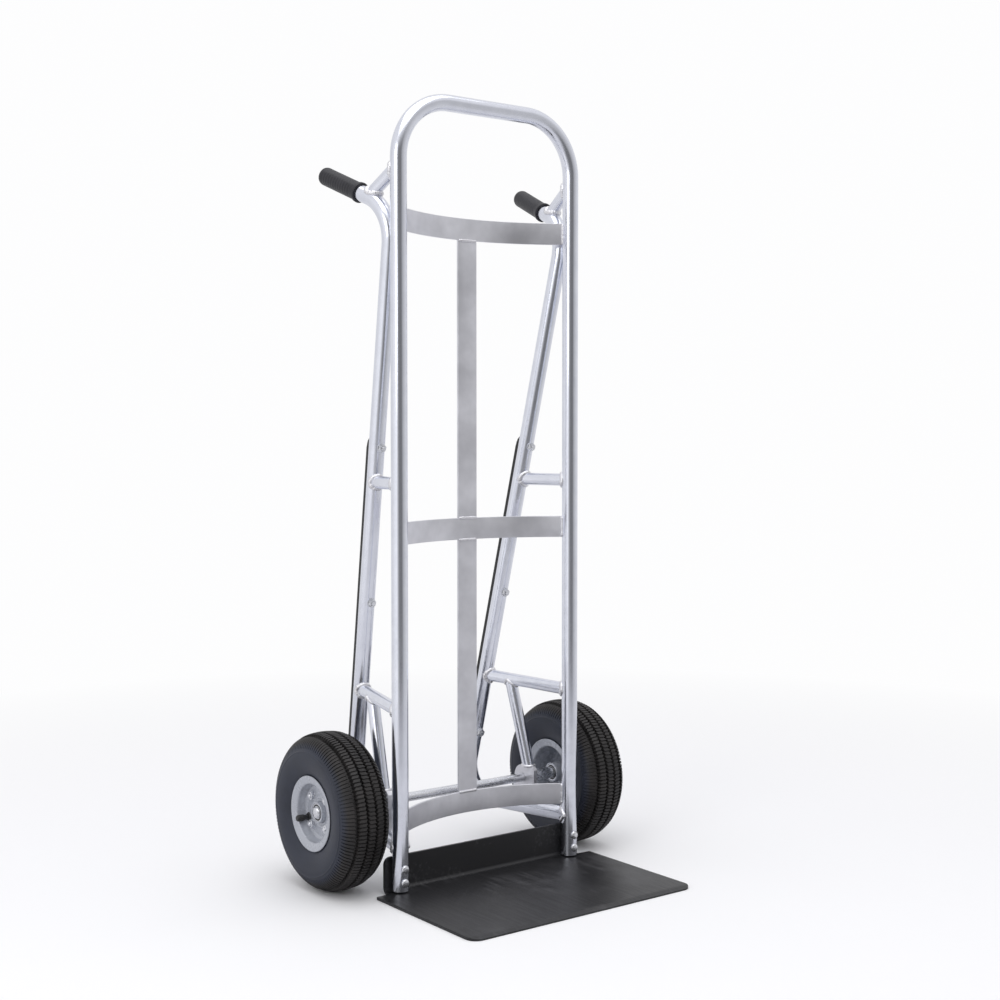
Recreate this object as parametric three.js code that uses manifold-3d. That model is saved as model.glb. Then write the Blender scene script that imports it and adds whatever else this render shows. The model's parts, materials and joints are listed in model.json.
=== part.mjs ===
// A two-wheeled aluminium hand truck with a loop frame, twin grips and pneumatic wheels.
// Millimetres, +Z up, -Y towards the load side, +X to the right of someone facing +Y.
// The model is laid out from the floor point midway between the two frame rails, then
// moved along Y so that its origin is the centre of its bounding box, on the floor.
import * as THREE from 'three';
import { mergeVertices } from 'three/addons/utils/BufferGeometryUtils.js';
import Module from 'manifold-3d';

const wasm = await Module();
wasm.setup();

// ---------- driving dimensions ----------

const GAP = 0.3;
const TUBE_OD = 28;
const TUBE_WALL = 2.5;
const BRACE_OD = 22;
const BRACE_WALL = 2;

const RAIL_X = 184;
const LOOP_TOP_Z = 1328.6;
const LOOP_CORNER_RADIUS = 100;

// The rear strut runs in a straight line from the handle elbow to the foot elbow.
const STRUT_TOP = { x: 185, y: 17.2, z: 1147 };
const STRUT_FOOT_Z = 81;
const STRUT_REARWARD_SLOPE = 0.2135;
const STRUT_INWARD_SLOPE = 0.056;
const HANDLE_DIRECTION = { x: 0.16, y: 0.91, z: 0.39 };
const HANDLE_LENGTH = 181;
const ELBOW_RADIUS = 75;
const FOOT_RADIUS = 60;

const GRIP_OD = 31.5;
const GRIP_START = 83;
const GRIP_LENGTH = 105;
const GRIP_COLLAR_HEIGHT = 2;
const GRIP_COLLAR_LENGTH = 6;

const HANDLE_BRACE_TOP_Z = 1216;
const HANDLE_BRACE_REACH = 62;
const UPPER_SPACER_Z = 690;
const LOWER_SPACER_FRONT_Z = 309.5;
const LOWER_SPACER_REAR_Z = 317;
const AXLE_BRACE_FROM_STRUT = 0.31;
const AXLE_BRACE_FOOT_FORWARD = 13;

const BAR_HEIGHT = 38;
const BAR_THICKNESS = 5;
const BAR_BOW = 63;
const UPPER_BAR_Z = 1130;
const MIDDLE_BAR_Z = 606;
const LOWER_BAR_Z = 119;
const STRAP_WIDTH = 40;

const AXLE_Y = 102;
const AXLE_Z = 134;
const AXLE_OD = 16;
const AXLE_BRACKET_THICKNESS = 8;
const AXLE_BRACKET_RADIUS = 24;
const AXLE_BRACKET_CHAMFER = 6;
const AXLE_BRACKET_FOOT = 68;

const PLATE_WIDTH = 464;
const PLATE_FRONT_Y = -272;
const PLATE_REAR_Y = 0;
const PLATE_THICKNESS = 5;
const RAIL_FOOT_CLEARANCE = 2.5;
const PLATE_CORNER_RADIUS = 20;
const FLANGE_WIDTH = 412;
const FLANGE_TOP_Z = 62;
const FLANGE_CORNER_RADIUS = 12;
const NOSE_BOLT_HEIGHTS = { lower: 22, upper: 45 };

const SKID_WIDTH = 19;
const SKID_THICKNESS = 5;
const SKID_TOP_Z = 768;
const SKID_BOTTOM_Z = 163;
const SKID_BOLT_HEIGHTS = [752, 480, 208];
const BOLT_OD = 8;
const BOLT_HEAD_OD = 15;
const BOLT_HEAD_HEIGHT = 4;
const NUT_ACROSS_FLATS = 13;
const NUT_HEIGHT = 6;

const WHEEL_X = 258;
const TYRE_RADIUS = AXLE_Z;
const TYRE_HALF_WIDTH = 47;
const BEAD_SEAT_RADIUS = 51;
const RIM_RADIUS = 63.5;
const RIM_HALF_WIDTH = 41;
const DISC_FACE = 20;
const SHEET = 2.5;
const RIM_BOLT_CIRCLE_RADIUS = 34;
const RIM_BOLT_COUNT = 4;
const HUB_OD = 36;
const HUB_BORE_RADIUS = 16;
const HUB_OUTER_END = 28;
const HUB_INNER_END = -34;
const BEARING_WIDTH = 11;
const BEARING_RECESS = 1;
const RACE_SPLIT_RADIUS = 11.7;
const VALVE_RADIUS = 42;
const VALVE_OD = 8;
const VALVE_STEM_REACH = 70;
const VALVE_HOLE_START = 11;
const VALVE_ANGLE = 1.95;
const VALVE_PLANE = 6;
const VALVE_END = 40;
const VALVE_BEND_RADIUS = 6;
const VALVE_CAP_RADIUS = 5.6;
const VALVE_CAP_START = 30;
const VALVE_CAP_END = 44;
const INNER_TUBE_CENTRE_RADIUS = 91;
const INNER_TUBE_HALF_WIDTH = 36;
const INNER_TUBE_HALF_HEIGHT = 31;
const INNER_TUBE_WALL = 2;
const AXLE_CAP_OD = 20;
const AXLE_CAP_LENGTH = 5;

const TUBE_SIDES = 12;
const BEND_STEP = THREE.MathUtils.degToRad(18);
const TYRE_SEGMENTS = 30;
const RIM_SEGMENTS = 24;
const HUB_SEGMENTS = 16;
const RACE_SEGMENTS = 14;
const INNER_TUBE_SEGMENTS = 20;
const INNER_TUBE_SIDES = 8;
const SMALL_SEGMENTS = 10;

// How far the faceted cutters reach past the piece they trim.
const CUTTER_REACH = 60;

// ---------- materials ----------

function finish(color, roughness, metalness) {
  return new THREE.MeshStandardMaterial({ color, roughness, metalness });
}

const polishedAluminium = finish(0xd9dbe2, 0.18, 1);
const brushedAluminium = finish(0xc4c5cb, 0.38, 1);
const blackSteel = finish(0x2a2a2d, 0.45, 0.3);
const zincSteel = finish(0xb9bcc2, 0.3, 1);
const rimPaint = finish(0x9a9eaa, 0.4, 0.4);
const tyreRubber = finish(0x2f3036, 0.85, 0);
const gripRubber = finish(0x333238, 0.6, 0);
const skidPlastic = finish(0x1c1c1e, 0.5, 0);

// ---------- geometry helpers ----------

function vector({ x, y, z }, side = 1) {
  return new THREE.Vector3(side * x, y, z);
}

function directionBetween(from, to) {
  return to.clone().sub(from).normalize();
}

// A path made of stations, each a point with the tube's direction there, so that a
// straight run is one step long and a bend is stepped evenly.
class StationPath extends THREE.Curve {
  constructor(stations) {
    super();
    this.stations = stations;
  }

  between(u, key, target = new THREE.Vector3()) {
    const last = this.stations.length - 1;
    const place = u * last;
    const index = Math.min(Math.floor(place), last - 1);
    const start = this.stations[index][key];
    const end = this.stations[index + 1][key];
    return target.lerpVectors(start, end, place - index);
  }

  getPoint(u, target) {
    return this.between(u, 'point', target);
  }

  getPointAt(u, target) {
    return this.between(u, 'point', target);
  }

  getTangent(u, target) {
    return this.between(u, 'tangent', target).normalize();
  }

  getTangentAt(u, target) {
    return this.getTangent(u, target);
  }
}

function bendStations(before, corner, after, radius) {
  const incoming = directionBetween(before, corner);
  const outgoing = directionBetween(corner, after);
  const turn = incoming.angleTo(outgoing);
  const axis = incoming.clone().cross(outgoing).normalize();
  const toCentre = axis.clone().cross(incoming);
  const start = corner.clone().addScaledVector(incoming, -radius * Math.tan(turn / 2));
  const centre = start.addScaledVector(toCentre, radius);
  const steps = Math.ceil(turn / BEND_STEP);
  return Array.from({ length: steps + 1 }, (_, step) => {
    const rotation = new THREE.Quaternion().setFromAxisAngle(axis, (turn * step) / steps);
    const arm = toCentre.clone().applyQuaternion(rotation);
    return {
      point: centre.clone().addScaledVector(arm, -radius),
      tangent: incoming.clone().applyQuaternion(rotation),
    };
  });
}

// corners[0] and the last corner are the tube's ends; radii holds one bend radius for
// each corner between them.
function bentPath(corners, radii = []) {
  const last = corners.length - 1;
  const start = { point: corners[0], tangent: directionBetween(corners[0], corners[1]) };
  const end = { point: corners[last], tangent: directionBetween(corners[last - 1], corners[last]) };
  const bends = radii.flatMap((radius, index) =>
    bendStations(corners[index], corners[index + 1], corners[index + 2], radius));
  return new StationPath([start, ...bends, end]);
}

function circle(radius, clockwise = false) {
  return new THREE.Shape().absarc(0, 0, radius, 0, 2 * Math.PI, clockwise);
}

function ringShape(outerRadius, innerRadius) {
  const shape = circle(outerRadius);
  shape.holes.push(circle(innerRadius, true));
  return shape;
}

function sweep(shape, path, sides = TUBE_SIDES) {
  return new THREE.ExtrudeGeometry(shape, {
    steps: path.stations.length - 1,
    curveSegments: sides / 2,
    extrudePath: path,
  });
}

function tube(path, outerDiameter, wall) {
  return sweep(ringShape(outerDiameter / 2, outerDiameter / 2 - wall), path);
}

function roundBar(from, to, radius, sides = TUBE_SIDES) {
  return sweep(circle(radius), bentPath([from, to]), sides);
}

// A solid turned about the X axis from a closed outline of [along X, radius] points,
// listed anticlockwise with X to the right and the radius upwards.
function turned(outline, segments) {
  const points = outline.map(([along, radius]) => new THREE.Vector2(radius, along)).reverse();
  points.push(points[0].clone());
  const geometry = new THREE.LatheGeometry(points, segments);
  geometry.rotateZ(-Math.PI / 2);
  return geometry;
}

function ring(fromX, toX, innerRadius, outerRadius, segments) {
  return turned([
    [fromX, innerRadius],
    [toX, innerRadius],
    [toX, outerRadius],
    [fromX, outerRadius],
  ], segments);
}

// The radius of a faceted cutter whose flats clear a round piece by the gap.
function clearRadius(diameter, sides = TUBE_SIDES) {
  return (diameter / 2 + GAP) / Math.cos(Math.PI / sides);
}

function solidOf(geometry) {
  const bare = geometry.clone();
  bare.deleteAttribute('normal');
  bare.deleteAttribute('uv');
  const merged = mergeVertices(bare);
  return new wasm.Manifold(new wasm.Mesh({
    numProp: 3,
    vertProperties: Float32Array.from(merged.attributes.position.array),
    triVerts: Uint32Array.from(merged.index.array),
  }));
}

function geometryOf(solid) {
  const { vertProperties, triVerts } = solid.getMesh();
  const geometry = new THREE.BufferGeometry();
  geometry.setAttribute('position', new THREE.BufferAttribute(vertProperties, 3));
  geometry.setIndex(new THREE.BufferAttribute(triVerts, 1));
  geometry.computeVertexNormals();
  return geometry;
}

function cut(geometry, cutters) {
  const rest = cutters.reduce((solid, cutter) => solid.subtract(solidOf(cutter)), solidOf(geometry));
  return geometryOf(rest);
}

function join(geometries) {
  const [first, ...others] = geometries.map(solidOf);
  return geometryOf(others.reduce((solid, other) => solid.add(other), first));
}

// Extrudes a shape drawn in X and Z along Y, from a given Y.
function extrudeAlongY(shape, fromY, depth, curveSegments = 6) {
  const geometry = new THREE.ExtrudeGeometry(shape, { depth, bevelEnabled: false, curveSegments });
  geometry.rotateX(Math.PI / 2);
  geometry.translate(0, fromY + depth, 0);
  return geometry;
}

const truck = new THREE.Group();

function add(name, geometry, material, parent = truck) {
  const mesh = new THREE.Mesh(geometry, material);
  mesh.name = name;
  parent.add(mesh);
  return mesh;
}

const SIDES = [{ label: 'left', side: -1 }, { label: 'right', side: 1 }];

// ---------- centre lines ----------

function railPoint(side, z) {
  return new THREE.Vector3(side * RAIL_X, 0, z);
}

function strutPoint(side, z) {
  const drop = STRUT_TOP.z - z;
  return new THREE.Vector3(
    side * (STRUT_TOP.x - STRUT_INWARD_SLOPE * drop),
    STRUT_TOP.y + STRUT_REARWARD_SLOPE * drop,
    z,
  );
}

function handlePoint(side, distance) {
  const along = vector(HANDLE_DIRECTION, side).normalize();
  return vector(STRUT_TOP, side).addScaledVector(along, distance);
}

function legPoint(side, y) {
  const foot = strutPoint(side, STRUT_FOOT_Z);
  const rail = railPoint(side, STRUT_FOOT_Z);
  return foot.lerp(rail, 1 - y / foot.y);
}

function boltHole(from, to, sides = 8) {
  return roundBar(from, to, clearRadius(BOLT_OD, sides), sides);
}

function railCutter(side, fromZ, toZ) {
  return roundBar(railPoint(side, fromZ), railPoint(side, toZ), clearRadius(TUBE_OD));
}

function strutCutter(side, fromZ, toZ) {
  return roundBar(strutPoint(side, fromZ), strutPoint(side, toZ), clearRadius(TUBE_OD));
}

// ---------- loop frame and rear struts ----------

function noseBoltPoint(side, z, y) {
  return new THREE.Vector3(side * RAIL_X, y, z);
}

function buildLoopFrame() {
  const bottom = PLATE_THICKNESS + RAIL_FOOT_CLEARANCE;
  const path = bentPath([
    railPoint(-1, bottom),
    railPoint(-1, LOOP_TOP_Z),
    railPoint(1, LOOP_TOP_Z),
    railPoint(1, bottom),
  ], [LOOP_CORNER_RADIUS, LOOP_CORNER_RADIUS]);
  const boltHoles = SIDES.flatMap(({ side }) => Object.values(NOSE_BOLT_HEIGHTS).map((z) =>
    boltHole(noseBoltPoint(side, z, -TUBE_OD), noseBoltPoint(side, z, TUBE_OD))));
  add('loop_frame', cut(tube(path, TUBE_OD, TUBE_WALL), boltHoles), polishedAluminium);
}

// The direction square to the strut, pointing from its rear face towards its front.
function strutForward(side) {
  const down = directionBetween(strutPoint(side, LOOP_TOP_Z), strutPoint(side, 0));
  const across = new THREE.Vector3(1, 0, 0).addScaledVector(down, -down.x).normalize();
  const forward = across.cross(down).normalize();
  return forward.y < 0 ? forward : forward.negate();
}

function skidBoltAxis(side, z, rearward, frontward) {
  const centre = strutPoint(side, z);
  const forward = strutForward(side);
  return [
    centre.clone().addScaledVector(forward, -rearward),
    centre.clone().addScaledVector(forward, frontward),
  ];
}

function skidBoltHoles(side) {
  return SKID_BOLT_HEIGHTS.map((z) => {
    const [rear, front] = skidBoltAxis(side, z, TUBE_OD, TUBE_OD);
    return boltHole(rear, front);
  });
}

function buildStrut({ label, side }) {
  const path = bentPath([
    handlePoint(side, HANDLE_LENGTH),
    vector(STRUT_TOP, side),
    strutPoint(side, STRUT_FOOT_Z),
    railPoint(side, STRUT_FOOT_Z),
  ], [ELBOW_RADIUS, FOOT_RADIUS]);
  const cutters = [railCutter(side, 0, STRUT_FOOT_Z + CUTTER_REACH), ...skidBoltHoles(side)];
  add(`rear_strut_${label}`, cut(tube(path, TUBE_OD, TUBE_WALL), cutters), polishedAluminium);
}

function buildGrip({ label, side }) {
  const bore = clearRadius(TUBE_OD, HUB_SEGMENTS);
  const outer = GRIP_OD / 2;
  const tubeEnd = HANDLE_LENGTH - GRIP_START + GAP;
  const dome = GRIP_LENGTH - 9;
  const outline = [
    [0, bore],
    [tubeEnd, bore],
    [tubeEnd, 0],
    [GRIP_LENGTH, 0],
    [GRIP_LENGTH - 2, outer * 0.62],
    [dome + 3, outer * 0.9],
    [dome, outer],
    [GRIP_COLLAR_LENGTH, outer],
    [GRIP_COLLAR_LENGTH - 1, outer + GRIP_COLLAR_HEIGHT],
    [0, outer + GRIP_COLLAR_HEIGHT],
  ];
  const grip = add(`grip_${label}`, turned(outline, HUB_SEGMENTS), gripRubber);
  const along = directionBetween(handlePoint(side, 0), handlePoint(side, 1));
  grip.quaternion.setFromUnitVectors(new THREE.Vector3(1, 0, 0), along);
  grip.position.copy(handlePoint(side, GRIP_START));
}

// ---------- welded braces ----------

function buildHandleBrace({ label, side }) {
  const top = railPoint(side, HANDLE_BRACE_TOP_Z);
  const foot = handlePoint(side, HANDLE_BRACE_REACH);
  const cutters = [
    railCutter(side, HANDLE_BRACE_TOP_Z - CUTTER_REACH, HANDLE_BRACE_TOP_Z + CUTTER_REACH),
    roundBar(handlePoint(side, 0), handlePoint(side, HANDLE_LENGTH), clearRadius(TUBE_OD)),
  ];
  const brace = tube(bentPath([top, foot]), BRACE_OD, BRACE_WALL);
  add(`handle_brace_${label}`, cut(brace, cutters), polishedAluminium);
}

function buildSpacer(name, side, frontZ, rearZ) {
  const path = bentPath([railPoint(side, frontZ), strutPoint(side, rearZ)]);
  const cutters = [
    railCutter(side, frontZ - CUTTER_REACH, frontZ + CUTTER_REACH),
    strutCutter(side, rearZ - CUTTER_REACH, rearZ + CUTTER_REACH),
  ];
  add(name, cut(tube(path, BRACE_OD, BRACE_WALL), cutters), polishedAluminium);
}

function axleBraceFoot(side) {
  const centre = legPoint(side, AXLE_Y);
  const plateTop = AXLE_Z + AXLE_BRACKET_RADIUS + GAP;
  return new THREE.Vector3(centre.x, AXLE_Y - AXLE_BRACE_FOOT_FORWARD, plateTop);
}

function buildAxleBrace({ label, side }) {
  const front = railPoint(side, LOWER_SPACER_FRONT_Z);
  const rear = strutPoint(side, LOWER_SPACER_REAR_Z);
  const top = rear.clone().lerp(front, AXLE_BRACE_FROM_STRUT);
  const foot = axleBraceFoot(side);
  const buriedFoot = foot.clone().addScaledVector(directionBetween(top, foot), BRACE_OD / 2);
  const path = bentPath([top, buriedFoot]);
  const lowerSpacer = roundBar(front, rear, clearRadius(BRACE_OD));
  const bracketTop = new THREE.BoxGeometry(CUTTER_REACH, CUTTER_REACH, CUTTER_REACH);
  bracketTop.translate(foot.x, foot.y, foot.z - CUTTER_REACH / 2);
  add(`axle_brace_${label}`, cut(tube(path, BRACE_OD, BRACE_WALL), [lowerSpacer, bracketTop]),
    polishedAluminium);
}

function bowedBar(z) {
  const radius = (RAIL_X ** 2 + BAR_BOW ** 2) / (2 * BAR_BOW);
  const centreY = BAR_BOW - radius;
  const halfAngle = Math.asin(RAIL_X / radius);
  const from = Math.PI / 2 - halfAngle;
  const to = Math.PI / 2 + halfAngle;
  const shape = new THREE.Shape()
    .absarc(0, centreY, radius + BAR_THICKNESS / 2, from, to, false)
    .absarc(0, centreY, radius - BAR_THICKNESS / 2, to, from, true);
  const bar = new THREE.ExtrudeGeometry(shape, {
    depth: BAR_HEIGHT,
    bevelEnabled: false,
    curveSegments: 10,
  });
  bar.translate(0, 0, z - BAR_HEIGHT / 2);
  return cut(bar, SIDES.map(({ side }) => railCutter(side, z - CUTTER_REACH, z + CUTTER_REACH)));
}

function buildStrap(name, lowerBarZ, upperBarZ) {
  const bottom = lowerBarZ + BAR_HEIGHT / 2 + GAP;
  const top = upperBarZ - BAR_HEIGHT / 2 - GAP;
  const strap = new THREE.BoxGeometry(STRAP_WIDTH, BAR_THICKNESS, top - bottom);
  strap.translate(0, BAR_BOW - GAP, (top + bottom) / 2);
  add(name, strap, brushedAluminium);
}

function buildCrossbars() {
  add('upper_crossbar', bowedBar(UPPER_BAR_Z), brushedAluminium);
  add('middle_crossbar', bowedBar(MIDDLE_BAR_Z), brushedAluminium);
  add('lower_crossbar', bowedBar(LOWER_BAR_Z), brushedAluminium);
  buildStrap('upper_centre_strap', MIDDLE_BAR_Z, UPPER_BAR_Z);
  buildStrap('lower_centre_strap', LOWER_BAR_Z, MIDDLE_BAR_Z);
}

// ---------- axle and its brackets ----------

function buildAxleBracket({ label, side }) {
  const half = AXLE_BRACKET_FOOT / 2;
  const shape = new THREE.Shape()
    .moveTo(-half, STRUT_FOOT_Z)
    .lineTo(half, STRUT_FOOT_Z)
    .absarc(0, AXLE_Z, AXLE_BRACKET_RADIUS, 0, Math.PI / 2, false)
    .lineTo(AXLE_BRACKET_CHAMFER - half, AXLE_Z + AXLE_BRACKET_RADIUS)
    .lineTo(-half, AXLE_Z + AXLE_BRACKET_RADIUS - AXLE_BRACKET_CHAMFER)
    .closePath();
  shape.holes.push(new THREE.Path().absarc(0, AXLE_Z, AXLE_OD / 2 + GAP, 0, 2 * Math.PI, true));
  const plate = extrudeAlongY(shape, -AXLE_BRACKET_THICKNESS / 2, AXLE_BRACKET_THICKNESS, 8);
  plate.rotateZ(Math.PI / 2);
  const centre = legPoint(side, AXLE_Y);
  plate.translate(centre.x, AXLE_Y, 0);
  const legRear = legPoint(side, AXLE_Y + CUTTER_REACH);
  const legFront = legPoint(side, AXLE_Y - CUTTER_REACH);
  const leg = roundBar(legRear, legFront, clearRadius(TUBE_OD));
  add(`axle_bracket_${label}`, cut(plate, [leg]), brushedAluminium);
}

function axleRing(side, fromU, toU, innerRadius, outerRadius) {
  const geometry = ring(fromU, toU, innerRadius, outerRadius, RACE_SEGMENTS);
  if (side < 0) geometry.rotateZ(Math.PI);
  geometry.translate(side * WHEEL_X, AXLE_Y, AXLE_Z);
  return geometry;
}

const bearingSpans = {
  outboard: [HUB_OUTER_END - BEARING_RECESS - BEARING_WIDTH, HUB_OUTER_END - BEARING_RECESS],
  inboard: [HUB_INNER_END + BEARING_RECESS, HUB_INNER_END + BEARING_RECESS + BEARING_WIDTH],
};

function buildAxle() {
  const capStart = HUB_OUTER_END - BEARING_RECESS + GAP;
  const halfLength = WHEEL_X + capStart + AXLE_CAP_LENGTH - 2;
  const left = new THREE.Vector3(-halfLength, AXLE_Y, AXLE_Z);
  const right = new THREE.Vector3(halfLength, AXLE_Y, AXLE_Z);
  add('axle', roundBar(left, right, AXLE_OD / 2), zincSteel);
  const bore = clearRadius(AXLE_OD);
  for (const { label, side } of SIDES) {
    const capEnd = capStart + AXLE_CAP_LENGTH;
    const hollowEnd = capEnd - 2 + GAP;
    const cap = turned([
      [capStart, bore],
      [hollowEnd, bore],
      [hollowEnd, 0],
      [capEnd, 0],
      [capEnd - 1, AXLE_CAP_OD / 2 - 2],
      [capStart + 1, AXLE_CAP_OD / 2],
      [capStart, AXLE_CAP_OD / 2],
    ], RACE_SEGMENTS);
    if (side < 0) cap.rotateZ(Math.PI);
    cap.translate(side * WHEEL_X, AXLE_Y, AXLE_Z);
    add(`axle_cap_${label}`, cap, zincSteel);
    const bracketFace = Math.abs(legPoint(side, AXLE_Y).x) + AXLE_BRACKET_THICKNESS / 2 + GAP;
    const spacerEnd = HUB_INNER_END + BEARING_RECESS - GAP;
    const spacer = axleRing(side, bracketFace - WHEEL_X, spacerEnd, bore, RACE_SPLIT_RADIUS - 1);
    add(`axle_spacer_${label}`, spacer, zincSteel);
    for (const [place, [from, to]] of Object.entries(bearingSpans)) {
      add(`bearing_inner_race_${place}_${label}`,
        axleRing(side, from, to, bore, RACE_SPLIT_RADIUS - 2 * GAP), zincSteel);
    }
  }
}

// ---------- nose plate ----------

function buildNosePlate() {
  const half = PLATE_WIDTH / 2;
  const tongue = FLANGE_WIDTH / 2;
  const flangeFront = TUBE_OD / 2 + 2 * GAP;
  const flangeBack = flangeFront + PLATE_THICKNESS;
  const r = PLATE_CORNER_RADIUS;
  const blade = new THREE.Shape()
    .moveTo(-half + r, PLATE_FRONT_Y)
    .lineTo(half - r, PLATE_FRONT_Y)
    .absarc(half - r, PLATE_FRONT_Y + r, r, -Math.PI / 2, 0, false)
    .lineTo(half, PLATE_REAR_Y)
    .lineTo(tongue, PLATE_REAR_Y)
    .lineTo(tongue, flangeBack)
    .lineTo(-tongue, flangeBack)
    .lineTo(-tongue, PLATE_REAR_Y)
    .lineTo(-half, PLATE_REAR_Y)
    .lineTo(-half, PLATE_FRONT_Y + r)
    .absarc(-half + r, PLATE_FRONT_Y + r, r, Math.PI, 1.5 * Math.PI, false);
  const bladeSolid = new THREE.ExtrudeGeometry(blade, {
    depth: PLATE_THICKNESS,
    bevelEnabled: false,
    curveSegments: 5,
  });
  const c = FLANGE_CORNER_RADIUS;
  const flange = new THREE.Shape()
    .moveTo(-tongue, -PLATE_THICKNESS / 2)
    .lineTo(-tongue, -FLANGE_TOP_Z + c)
    .absarc(-tongue + c, -FLANGE_TOP_Z + c, c, Math.PI, 1.5 * Math.PI, false)
    .lineTo(tongue - c, -FLANGE_TOP_Z)
    .absarc(tongue - c, -FLANGE_TOP_Z + c, c, -Math.PI / 2, 0, false)
    .lineTo(tongue, -PLATE_THICKNESS / 2);
  const flangeSolid = new THREE.ExtrudeGeometry(flange, {
    depth: PLATE_THICKNESS,
    bevelEnabled: false,
    curveSegments: 4,
  });
  flangeSolid.rotateX(-Math.PI / 2);
  flangeSolid.translate(0, flangeFront, 0);
  const holes = SIDES.flatMap(({ side }) => Object.values(NOSE_BOLT_HEIGHTS).map((z) =>
    boltHole(noseBoltPoint(side, z, 0), noseBoltPoint(side, z, flangeBack + GAP))));
  add('nose_plate', cut(join([bladeSolid, flangeSolid]), holes), blackSteel);
}

// A bolt along +X with its domed head at the start and a hexagonal nut at the end.
function boltWithNut(shankLength) {
  const shank = BOLT_OD / 2;
  const head = turned([
    [-BOLT_HEAD_HEIGHT, 0],
    [0, 0],
    [0, BOLT_HEAD_OD / 2],
    [-BOLT_HEAD_HEIGHT * 0.55, BOLT_HEAD_OD * 0.42],
    [-BOLT_HEAD_HEIGHT, BOLT_HEAD_OD * 0.2],
  ], SMALL_SEGMENTS);
  const end = shankLength + NUT_HEIGHT + 2;
  const body = roundBar(new THREE.Vector3(-1, 0, 0), new THREE.Vector3(end, 0, 0), shank, 6);
  return join([head, body, hexNut(shankLength)]);
}

function hexNut(fromX, acrossFlats = NUT_ACROSS_FLATS, height = NUT_HEIGHT) {
  const nut = new THREE.CylinderGeometry(acrossFlats / Math.sqrt(3), acrossFlats / Math.sqrt(3), height, 6);
  nut.rotateZ(-Math.PI / 2);
  nut.translate(fromX + height / 2, 0, 0);
  return nut;
}

function placeBolt(name, start, along, shankLength) {
  const bolt = add(name, boltWithNut(shankLength), zincSteel);
  bolt.quaternion.setFromUnitVectors(new THREE.Vector3(1, 0, 0), along);
  bolt.position.copy(start);
}

function buildNoseBolts({ label, side }) {
  const headY = -TUBE_OD / 2 - GAP;
  const nutY = TUBE_OD / 2 + PLATE_THICKNESS + 3 * GAP;
  for (const [level, z] of Object.entries(NOSE_BOLT_HEIGHTS)) {
    placeBolt(`nose_bolt_${level}_${label}`, noseBoltPoint(side, z, headY), new THREE.Vector3(0, 1, 0),
      nutY - headY);
  }
}

// ---------- skid strips ----------

function skidFrame(side) {
  const forward = strutForward(side);
  const up = directionBetween(strutPoint(side, 0), strutPoint(side, LOOP_TOP_Z));
  const across = up.clone().cross(forward);
  return new THREE.Matrix4().makeBasis(across, forward.negate(), up);
}

function buildSkid({ label, side }) {
  const inner = TUBE_OD / 2 + GAP;
  const half = SKID_WIDTH / 2;
  const edge = Math.asin(half / inner);
  const back = inner + SKID_THICKNESS;
  const section = new THREE.Shape()
    .moveTo(half, back - 1)
    .lineTo(half - 1.5, back)
    .lineTo(-half + 1.5, back)
    .lineTo(-half, back - 1)
    .absarc(0, 0, inner, Math.PI / 2 + edge, Math.PI / 2 - edge, true)
    .closePath();
  const bottom = strutPoint(side, SKID_BOTTOM_Z);
  const length = bottom.distanceTo(strutPoint(side, SKID_TOP_Z));
  const strip = new THREE.ExtrudeGeometry(section, { depth: length, bevelEnabled: false, curveSegments: 3 });
  strip.applyMatrix4(skidFrame(side));
  strip.translate(bottom.x, bottom.y, bottom.z);
  add(`skid_strip_${label}`, cut(strip, skidBoltHoles(side)), skidPlastic);
}

function buildSkidBolts({ label, side }) {
  const rear = TUBE_OD / 2 + SKID_THICKNESS + 2 * GAP;
  const front = TUBE_OD / 2 + GAP;
  SKID_BOLT_HEIGHTS.forEach((z, index) => {
    const [start] = skidBoltAxis(side, z, rear, front);
    placeBolt(`skid_bolt_${index + 1}_${label}`, start, strutForward(side), rear + front);
  });
}

// ---------- wheels ----------
// Each wheel is drawn with its axis on X and its outer face towards +X.

function mirrored(outline) {
  return outline.map(([along, radius]) => [-along, radius]).reverse();
}

function buildTyre(parent, label) {
  const bead = [
    [27.5, BEAD_SEAT_RADIUS + 0.9],
    [34, BEAD_SEAT_RADIUS + 1.9],
    [37.2, BEAD_SEAT_RADIUS + 14],
  ];
  const side = [
    [45, BEAD_SEAT_RADIUS + 26],
    [TYRE_HALF_WIDTH, 97],
    [43, 115],
    [37, 123],
    [28, 129.3],
    [15, 133],
  ];
  const inside = [
    [20, 125],
    [39, 108],
    [39, 86],
    [29, 63],
  ];
  const outer = [...bead, ...side];
  const outline = [
    ...outer,
    [0, TYRE_RADIUS],
    ...mirrored(outer),
    ...mirrored(inside),
    ...inside,
  ];
  add(`tyre_${label}`, turned(outline, TYRE_SEGMENTS), tyreRubber, parent);
}

function innerTubeRing(halfWidth, halfHeight) {
  const outline = Array.from({ length: INNER_TUBE_SIDES }, (_, index) => {
    const angle = (2 * Math.PI * index) / INNER_TUBE_SIDES;
    return [halfWidth * Math.cos(angle), INNER_TUBE_CENTRE_RADIUS + halfHeight * Math.sin(angle)];
  });
  return turned(outline, INNER_TUBE_SEGMENTS);
}

function aroundAxle(geometry, angle) {
  return geometry.rotateX(angle);
}

function valvePath() {
  const corners = [
    new THREE.Vector3(VALVE_PLANE, 0, VALVE_STEM_REACH),
    new THREE.Vector3(VALVE_PLANE, 0, VALVE_RADIUS),
    new THREE.Vector3(VALVE_END, 0, VALVE_RADIUS),
  ];
  return bentPath(corners, [VALVE_BEND_RADIUS]);
}

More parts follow.
